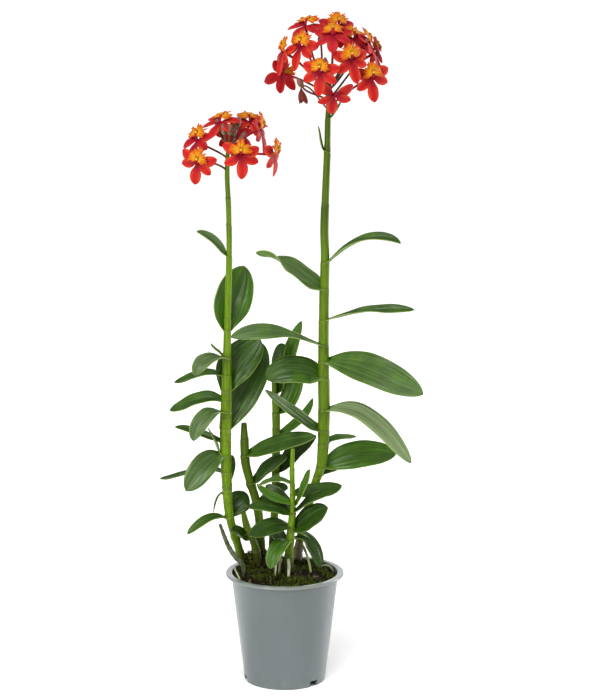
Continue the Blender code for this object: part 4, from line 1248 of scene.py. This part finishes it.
def rounded_profile():
    """Section of the pot from the middle of its floor, over the lip and under the foot."""
    floor = POT_FOOT_RECESS + POT_WALL
    inside = pot_inner_radius(POT_HEIGHT)
    lip = 0.9 * MM
    profile = [(0.0, floor), (pot_inner_radius(floor) - 2 * MM, floor),
               (pot_inner_radius(floor), floor + 1.5 * MM), (inside, POT_HEIGHT - lip)]
    profile += [(inside + lip * (1 - math.cos(a)), POT_HEIGHT - lip * (1 - math.sin(a)))
                for a in (math.radians(d) for d in (30, 60, 90))]
    profile += [(POT_RIM_RADIUS - lip * (1 - math.sin(a)), POT_HEIGHT - lip * (1 - math.cos(a)))
                for a in (math.radians(d) for d in (0, 22, 45, 68, 90))]
    profile += [(POT_RIM_RADIUS, POT_WALL_TOP + 0.3 * MM),
                (POT_RIM_RADIUS - 0.3 * MM, POT_WALL_TOP),
                (POT_RIM_RADIUS - 0.9 * MM, POT_WALL_TOP),
                (POT_RIM_RADIUS - 1.2 * MM, POT_WALL_TOP + 0.3 * MM),
                (POT_RIM_RADIUS - 1.3 * MM, POT_HEIGHT - 1.4 * MM),
                (POT_NECK_RADIUS + 0.6 * MM, POT_HEIGHT - 1.5 * MM),
                (POT_NECK_RADIUS, POT_HEIGHT - 2.2 * MM)]
    profile += [(POT_FOOT_RADIUS + 0.25 * MM, 2.0 * MM), (POT_FOOT_RADIUS, 0.5 * MM),
                (POT_FOOT_RADIUS - 0.5 * MM, 0.0),
                (POT_FOOT_RADIUS - POT_FOOT_RING, 0.0),
                (POT_FOOT_RADIUS - POT_FOOT_RING, POT_FOOT_RECESS), (0.0, POT_FOOT_RECESS)]
    return profile


def turned_pot():
    """Turn the pot's section about its axis."""
    mesh = bpy.data.meshes.new("pot_shell")
    profile = rounded_profile()
    mesh.from_pydata([(r, 0.0, z) for r, z in profile],
                     [(i, i + 1) for i in range(len(profile) - 1)], [])
    pot = add_object("pot_shell", mesh)
    screw = pot.modifiers.new("turn", "SCREW")
    screw.steps = POT_STEPS
    screw.render_steps = POT_STEPS
    screw.use_merge_vertices = True
    screw.merge_threshold = 0.05 * MM
    return pot


def cut_with(piece, tool):
    """Cut a shape out of a piece and drop the shape."""
    change = piece.modifiers.new("cut", "BOOLEAN")
    change.operation = "DIFFERENCE"
    change.object = tool
    bpy.context.view_layer.update()
    graph = bpy.context.evaluated_depsgraph_get()
    mesh = bpy.data.meshes.new_from_object(piece.evaluated_get(graph))
    piece.modifiers.clear()
    piece.data = mesh
    bpy.data.objects.remove(tool, do_unlink=True)


def cutter(shape, place, turn=0.0):
    """Make a loose object, used as a cutter, of a shape that has been drawn."""
    mesh = bpy.data.meshes.new("cutter")
    shape.to_mesh(mesh)
    shape.free()
    made = add_object("cutter", mesh)
    made.matrix_world = Matrix.Translation(place) @ Matrix.Rotation(turn, 4, "Z")
    return made


def block(size, place, turn):
    """A plain block used as a cutter."""
    shape = bmesh.new()
    bmesh.ops.create_cube(shape, size=1.0)
    for vertex in shape.verts:
        vertex.co = Vector(a * b for a, b in zip(vertex.co, size))
    return cutter(shape, place, turn)


def rod(radius, low, high, place):
    """A plain upright cylinder used as a cutter."""
    shape = bmesh.new()
    bmesh.ops.create_cone(shape, cap_ends=True, segments=32, radius1=radius, radius2=radius,
                          depth=high - low)
    return cutter(shape, (*place, (low + high) / 2))


def scatter(draw, reach):
    """A random place within a distance of the pot's axis."""
    radius = reach * math.sqrt(draw.random())
    turn = draw.uniform(0, math.tau)
    return radius * math.cos(turn), radius * math.sin(turn)


def clear_of_canes(x, y):
    """Whether a place on the ground is outside every cane's foot."""
    for points in CANES.values():
        foot_x, foot_y, _, diameter = points[2]
        if math.hypot(x / MM - foot_x, y / MM - foot_y) < diameter / 2 + CANE_MARGIN:
            return False
    return True


# Operators


class ORCHID_OT_add_pot(bpy.types.Operator):
    """Add the moulded pot with its rolled lip, notched foot ring and drain holes"""

    bl_idname = "orchid.add_pot"
    bl_label = "Add Pot"
    bl_options = {"REGISTER", "UNDO"}

    def execute(self, context):
        pot = turned_pot()
        for angle in NOTCH_ANGLES:
            turn = math.radians(angle)
            place = Vector((math.sin(turn), -math.cos(turn), 0.0)) * POT_FOOT_RADIUS
            cut_with(pot, block((NOTCH_WIDTH, 4 * POT_FOOT_RING, 2 * NOTCH_HEIGHT), place, turn))
        for i in range(DRAIN_COUNT):
            turn = math.tau * i / DRAIN_COUNT
            place = (DRAIN_CIRCLE * math.cos(turn), DRAIN_CIRCLE * math.sin(turn))
            cut_with(pot, rod(DRAIN_RADIUS, POT_FOOT_RECESS - 2 * MM,
                              POT_FOOT_RECESS + POT_WALL + 2 * MM, place))
        pot.data.materials.clear()
        pot.data.materials.append(pot_finish(context.scene.orchid_colours))
        pot.data.shade_smooth()
        pot.data.set_sharp_from_angle(angle=math.radians(35))
        finish_piece(pot, "pot_plastic", "pot")
        return {"FINISHED"}


class ORCHID_OT_add_medium(bpy.types.Operator):
    """Add the lumpy growing medium with its bark chips and moss"""

    bl_idname = "orchid.add_medium"
    bl_label = "Add Growing Medium"
    bl_options = {"REGISTER", "UNDO"}

    def execute(self, context):
        colours = context.scene.orchid_colours
        sizes = context.scene.orchid_sizes
        self.add_ground(colours)
        self.add_chips(colours, sizes.bark_chips)
        self.add_moss(colours, sizes.moss_tufts)
        return {"FINISHED"}

    def add_ground(self, colours):
        """The body of the medium, filling the pot."""
        edge = pot_inner_radius(MEDIUM_EDGE_HEIGHT) - MEDIUM_GAP
        rings, sides = MEDIUM_RINGS, MEDIUM_SIDES
        skin = Skin()
        crown = skin.point(Vector((0, 0, rough_ground(0, 0))))
        turns = [math.tau * k / sides for k in range(sides)]
        rows = []
        for i in range(1, rings + 1):
            radius = edge * i / rings
            row = []
            for turn in turns:
                x, y = radius * math.cos(turn), radius * math.sin(turn)
                row.append(skin.point(Vector((x, y, rough_ground(x, y))), (0.5, 0.5),
                                      (moss_share(x, y), 0.0, 0.0)))
            rows.append(row)
        floor = POT_FOOT_RECESS + POT_WALL + MEDIUM_GAP
        for height in (MEDIUM_EDGE_HEIGHT * 0.9, floor + 2 * MM, floor):
            radius = pot_inner_radius(height) - 2 * MEDIUM_GAP
            rows.append([skin.point(Vector((radius * math.cos(turn), radius * math.sin(turn),
                                            height))) for turn in turns])
        for k in range(sides):
            skin.face((crown, rows[0][k], rows[0][(k + 1) % sides]))
        skin.bridge([list(reversed(row)) for row in rows], closed=True)
        skin.face(tuple(reversed(rows[-1])))
        ground = skin.build("peat_and_bark", [medium_finish(colours)])
        finish_piece(ground, "growing_medium", "growing_medium")

    def add_chips(self, colours, count):
        """Loose chips of bark lying on the surface."""
        draw = random.Random(11)
        skin = Skin()
        for _ in range(count):
            x, y = scatter(draw, CHIP_REACH)
            if not clear_of_canes(x, y):
                continue
            size = draw.uniform(1.0, 3.4) * MM
            turn = Matrix.Rotation(draw.uniform(0, math.tau), 3, "Z") @ Matrix.Rotation(
                draw.uniform(-0.5, 0.5), 3, "X") @ Matrix.Rotation(draw.uniform(-0.5, 0.5), 3, "Y")
            flat = Vector((draw.uniform(0.8, 1.7), draw.uniform(0.5, 1.0), draw.uniform(0.3, 0.6)))
            tint = (draw.random(), 0.5 * draw.random() ** 3, 0.0)
            centre = Vector((x, y, rough_ground(x, y) + 0.2 * size))
            rows = []
            for i in range(5):
                band = math.pi * (i + 0.5) / 5
                row = []
                for k in range(8):
                    a = math.tau * k / 8
                    spot = Vector((math.sin(band) * math.cos(a), math.sin(band) * math.sin(a),
                                   math.cos(band)))
                    spot *= 1 + draw.uniform(-0.2, 0.2)
                    spot = Vector(p * q for p, q in zip(spot, flat))
                    row.append(skin.point(centre + turn @ spot * size, (0.5, 0.5), tint))
                rows.append(row)
            skin.bridge([list(reversed(row)) for row in rows], closed=True)
            skin.face(tuple(rows[0]))
            skin.face(tuple(reversed(rows[-1])))
        finish = tinted_finish("bark_chip", colours.bark, CHIP_BROWN, CHIP_LICHEN, 0.85, 500.0)
        finish_piece(skin.build("bark_chips", [finish], sharp=30), "growing_medium")

    def add_moss(self, colours, count):
        """Tufts of moss: short leafy shoots with pointed leaflets."""
        draw = random.Random(23)
        skin = Skin()
        made = 0
        while made < count:
            x, y = scatter(draw, MOSS_REACH)
            if draw.random() > moss_share(x, y) or not clear_of_canes(x, y):
                continue
            made += 1
            root = Vector((x, y, rough_ground(x, y) - 0.3 * MM))
            lean = Vector((draw.uniform(-0.6, 0.6), draw.uniform(-0.6, 0.6), 1.0)).normalized()
            tall = draw.uniform(1.4, 5.0) * MM
            tint = (draw.random() ** 1.3, draw.random() ** 2 * 0.8, 0.8 * draw.random() ** 2)
            for k in range(MOSS_LEAFLETS):
                turn = k * 2.4 + draw.uniform(-0.3, 0.3)
                height = 0.25 + 0.75 * k / (MOSS_LEAFLETS - 1)
                out = level(turn)
                base = root + lean * tall * height * 0.8
                end = base + (out * (1.1 - 0.5 * height) + lean * 0.8) * 1.7 * MM
                side = lean.cross(out).normalized() * 0.34 * MM
                middle = base.lerp(end, 0.4) + out * 0.1 * MM
                ring = [skin.point(p, (0.5, 0.5), tint) for p in
                        (base, middle + side, end, middle - side, middle + lean * 0.12 * MM)]
                a, b, c, d, e = ring
                for corners in ((a, b, e), (b, c, e), (c, d, e), (d, a, e), (a, d, c, b)):
                    skin.face(corners)
        finish = tinted_finish("moss", colours.moss, MOSS_BRIGHT, MOSS_DARK, 0.7, 300.0)
        finish_piece(skin.build("moss_tufts", [finish], sharp=40), "growing_medium")


class ORCHID_OT_add_canes(bpy.types.Operator):
    """Add the six canes with their leaf sheaths"""

    bl_idname = "orchid.add_canes"
    bl_label = "Add Canes"
    bl_options = {"REGISTER", "UNDO"}

    def execute(self, context):
        finish = cane_finish(context.scene.orchid_colours)
        for name in CANES:
            seats = [(leaf.joint, leaf_seat(leaf)[2])
                     for leaf in map(Leaf._make, (*LEAVES.values(), *SMALL_LEAVES.values()))
                     if leaf.cane == name]
            finish_piece(build_cane(name, seats, finish), "cane", name)
        return {"FINISHED"}


class ORCHID_OT_add_leaves(bpy.types.Operator):
    """Add every leaf, each clasping its cane"""

    bl_idname = "orchid.add_leaves"
    bl_label = "Add Leaves"
    bl_options = {"REGISTER", "UNDO"}

    def execute(self, context):
        colours = context.scene.orchid_colours
        thickness = context.scene.orchid_sizes.leaf_thickness
        skins = [leaf_finish("leaf_upper", colours, True),
                 leaf_finish("leaf_underside", colours, False)]
        for table, usual in ((LEAVES, 0.12), (SMALL_LEAVES, 0.25)):
            for name, values in table.items():
                # Each leaf's lightness, painted sheen and painted shade
                tints = (LEAF_FRESH.get(name, usual), LEAF_PAINTED_SHEEN.get(name, 0.06),
                         LEAF_PAINTED_SHADE.get(name, 0.0))
                leaf = build_leaf(name, Leaf(*values), skins, thickness, tints)
                finish_piece(leaf, "leaf", *([name] if name in LEAVES else []))
        return {"FINISHED"}


class ORCHID_OT_add_flowers(bpy.types.Operator):
    """Add the flowers of both heads, the wilted flower and the buds"""

    bl_idname = "orchid.add_flowers"
    bl_label = "Add Flowers and Buds"
    bl_options = {"REGISTER", "UNDO"}

    def execute(self, context):
        colours = context.scene.orchid_colours
        fringe = context.scene.orchid_sizes.fringe_depth
        stalk = stalk_finish(colours)
        skins = [petal_finish(colours), lip_finish(colours), stalk]
        for name, values in (FLOWERS | EXTRA_FLOWERS).items():
            flower = build_flower(name, Flower(*values), skins, fringe)
            finish_piece(flower, "flower", *([name] if name in FLOWERS else []))
        for name, values in WILTED.items():
            finish_piece(build_wilted(name, *values, skins), "flower")
        bud = bud_finish()
        for name, values in BUDS.items():
            finish_piece(build_bud(name, *values, [bud, stalk]), "flower")
        return {"FINISHED"}


class ORCHID_OT_add_roots(bpy.types.Operator):
    """Add the roots, the dry sheath at the right cane's foot and the withered shoot"""

    bl_idname = "orchid.add_roots"
    bl_label = "Add Roots"
    bl_options = {"REGISTER", "UNDO"}

    def execute(self, context):
        finish = tinted_finish("root_skin", ROOT_PALE, ROOT_GREEN, ROOT_TAN, 0.7, 260.0)
        for name, (radius, tint, spots) in ROOTS.items():
            skin = Skin()
            path = smooth_path([Vector(spot) * MM for spot in spots], 6)
            count = len(path)
            radii = [radius * MM * (1 - 0.45 * (k / (count - 1)) ** 3) for k in range(count)]
            skin.tube(path, radii, 12, [tint] * count,
                      squash=lambda i, turn: 1 + 0.08 * math.sin(i * 2.1 + turn * 2))
            finish_piece(skin.build(name, [finish]), "cane")
        return {"FINISHED"}


def smooth_path(points, steps):
    """Points on a smooth curve through the given ones."""
    path = []
    last = len(points) - 1
    for i in range(last):
        before, after = points[max(i - 1, 0)], points[min(i + 2, last)]
        low_slope = (points[i + 1] - before) / 2
        high_slope = (after - points[i]) / 2
        path += [hermite(points[i], points[i + 1], low_slope, high_slope, k / steps)
                 for k in range(steps)]
    return path + [points[-1]]


class ORCHID_OT_add_stage(bpy.types.Operator):
    """Add the pale floor, the soft studio light and the camera"""

    bl_idname = "orchid.add_stage"
    bl_label = "Add Stage"
    bl_options = {"REGISTER", "UNDO"}

    def execute(self, context):
        scene = context.scene
        scene.view_settings.view_transform = "Standard"
        scene.view_settings.look = "Medium High Contrast"
        self.add_floor()
        self.add_world(scene)
        for name, strength, spread, bearing, height in SUNS:
            self.add_sun(name, strength, spread, bearing, height)
        for name, power, size, place in SOFTBOXES:
            self.add_softbox(name, power, size, place)
        camera_data = bpy.data.cameras.new("camera")
        camera_data.lens = CAMERA_LENS
        camera_data.sensor_width = CAMERA_SENSOR
        camera = add_object("camera", camera_data)
        camera.location = CAMERA_PLACE
        camera.rotation_euler = (math.radians(90 - CAMERA_TILT), 0.0, 0.0)
        scene.camera = camera
        return {"FINISHED"}

    def add_floor(self):
        """Wide pale floor."""
        shape = bmesh.new()
        bmesh.ops.create_circle(shape, cap_ends=True, segments=64, radius=FLOOR_RADIUS)
        mesh = bpy.data.meshes.new("floor")
        shape.to_mesh(mesh)
        shape.free()
        floor = add_object("floor", mesh)
        paper = Finish("floor_paint", 0.9, Specular_IOR_Level=0.1)
        paper.colour = (0.96, 0.96, 0.96)
        paper.layer(paper.clouds(paper.place(), 3.0, 2.0), (0.98, 0.98, 0.98))
        mesh.materials.append(paper.done())

    def add_world(self, scene):
        """Even white surroundings."""
        world = bpy.data.worlds.new("studio")
        world.use_nodes = True
        background = world.node_tree.nodes["Background"]
        background.inputs["Color"].default_value = (1.0, 1.0, 1.0, 1.0)
        background.inputs["Strength"].default_value = WORLD_STRENGTH
        scene.world = world

    def add_sun(self, name, strength, spread, bearing, height):
        """Broad light from far away."""
        data = bpy.data.lights.new(name, "SUN")
        data.energy = strength
        data.angle = math.radians(spread)
        light = add_object(name, data)
        light.rotation_euler = (math.radians(90 - height), 0.0, math.radians(bearing))

    def add_softbox(self, name, power, size, place):
        """Upright softbox that looks at the plant."""
        data = bpy.data.lights.new(name, "AREA")
        data.shape = "RECTANGLE"
        data.size, data.size_y = size
        data.energy = power
        light = add_object(name, data)
        light.location = place
        aim = Vector((0.0, 0.0, 0.3)) - Vector(place)
        light.rotation_euler = aim.to_track_quat("-Z", "Y").to_euler()
        light.visible_camera = False


class ORCHID_PT_panel(bpy.types.Panel):
    """Lists the orchid's pieces and settings"""

    bl_label = "Potted Orchid"
    bl_idname = "ORCHID_PT_panel"
    bl_space_type = "VIEW_3D"
    bl_region_type = "UI"
    bl_category = "Orchid"

    def draw(self, context):
        layout = self.layout
        for group in (context.scene.orchid_sizes, context.scene.orchid_colours):
            box = layout.box()
            for key in group.bl_rna.properties.keys():
                if key not in {"rna_type", "name"}:
                    box.prop(group, key)
        for operator in OPERATORS:
            layout.operator(operator.bl_idname)


OPERATORS = (ORCHID_OT_add_stage, ORCHID_OT_add_pot, ORCHID_OT_add_medium, ORCHID_OT_add_canes,
             ORCHID_OT_add_leaves, ORCHID_OT_add_flowers, ORCHID_OT_add_roots)
CLASSES = (OrchidSizes, OrchidColours, *OPERATORS, ORCHID_PT_panel)


def register():
    """Make the settings, operators and panel known."""
    for item in CLASSES:
        bpy.utils.register_class(item)
    bpy.types.Scene.orchid_sizes = PointerProperty(type=OrchidSizes)
    bpy.types.Scene.orchid_colours = PointerProperty(type=OrchidColours)


def unregister():
    """Take them away again."""
    del bpy.types.Scene.orchid_colours
    del bpy.types.Scene.orchid_sizes
    for item in reversed(CLASSES):
        bpy.utils.unregister_class(item)


def main():
    """Build the whole orchid on its stage."""
    register()
    bpy.ops.orchid.add_stage()
    bpy.ops.orchid.add_pot()
    bpy.ops.orchid.add_medium()
    bpy.ops.orchid.add_canes()
    bpy.ops.orchid.add_leaves()
    bpy.ops.orchid.add_flowers()
    bpy.ops.orchid.add_roots()


if __name__ == "__main__":
    main()
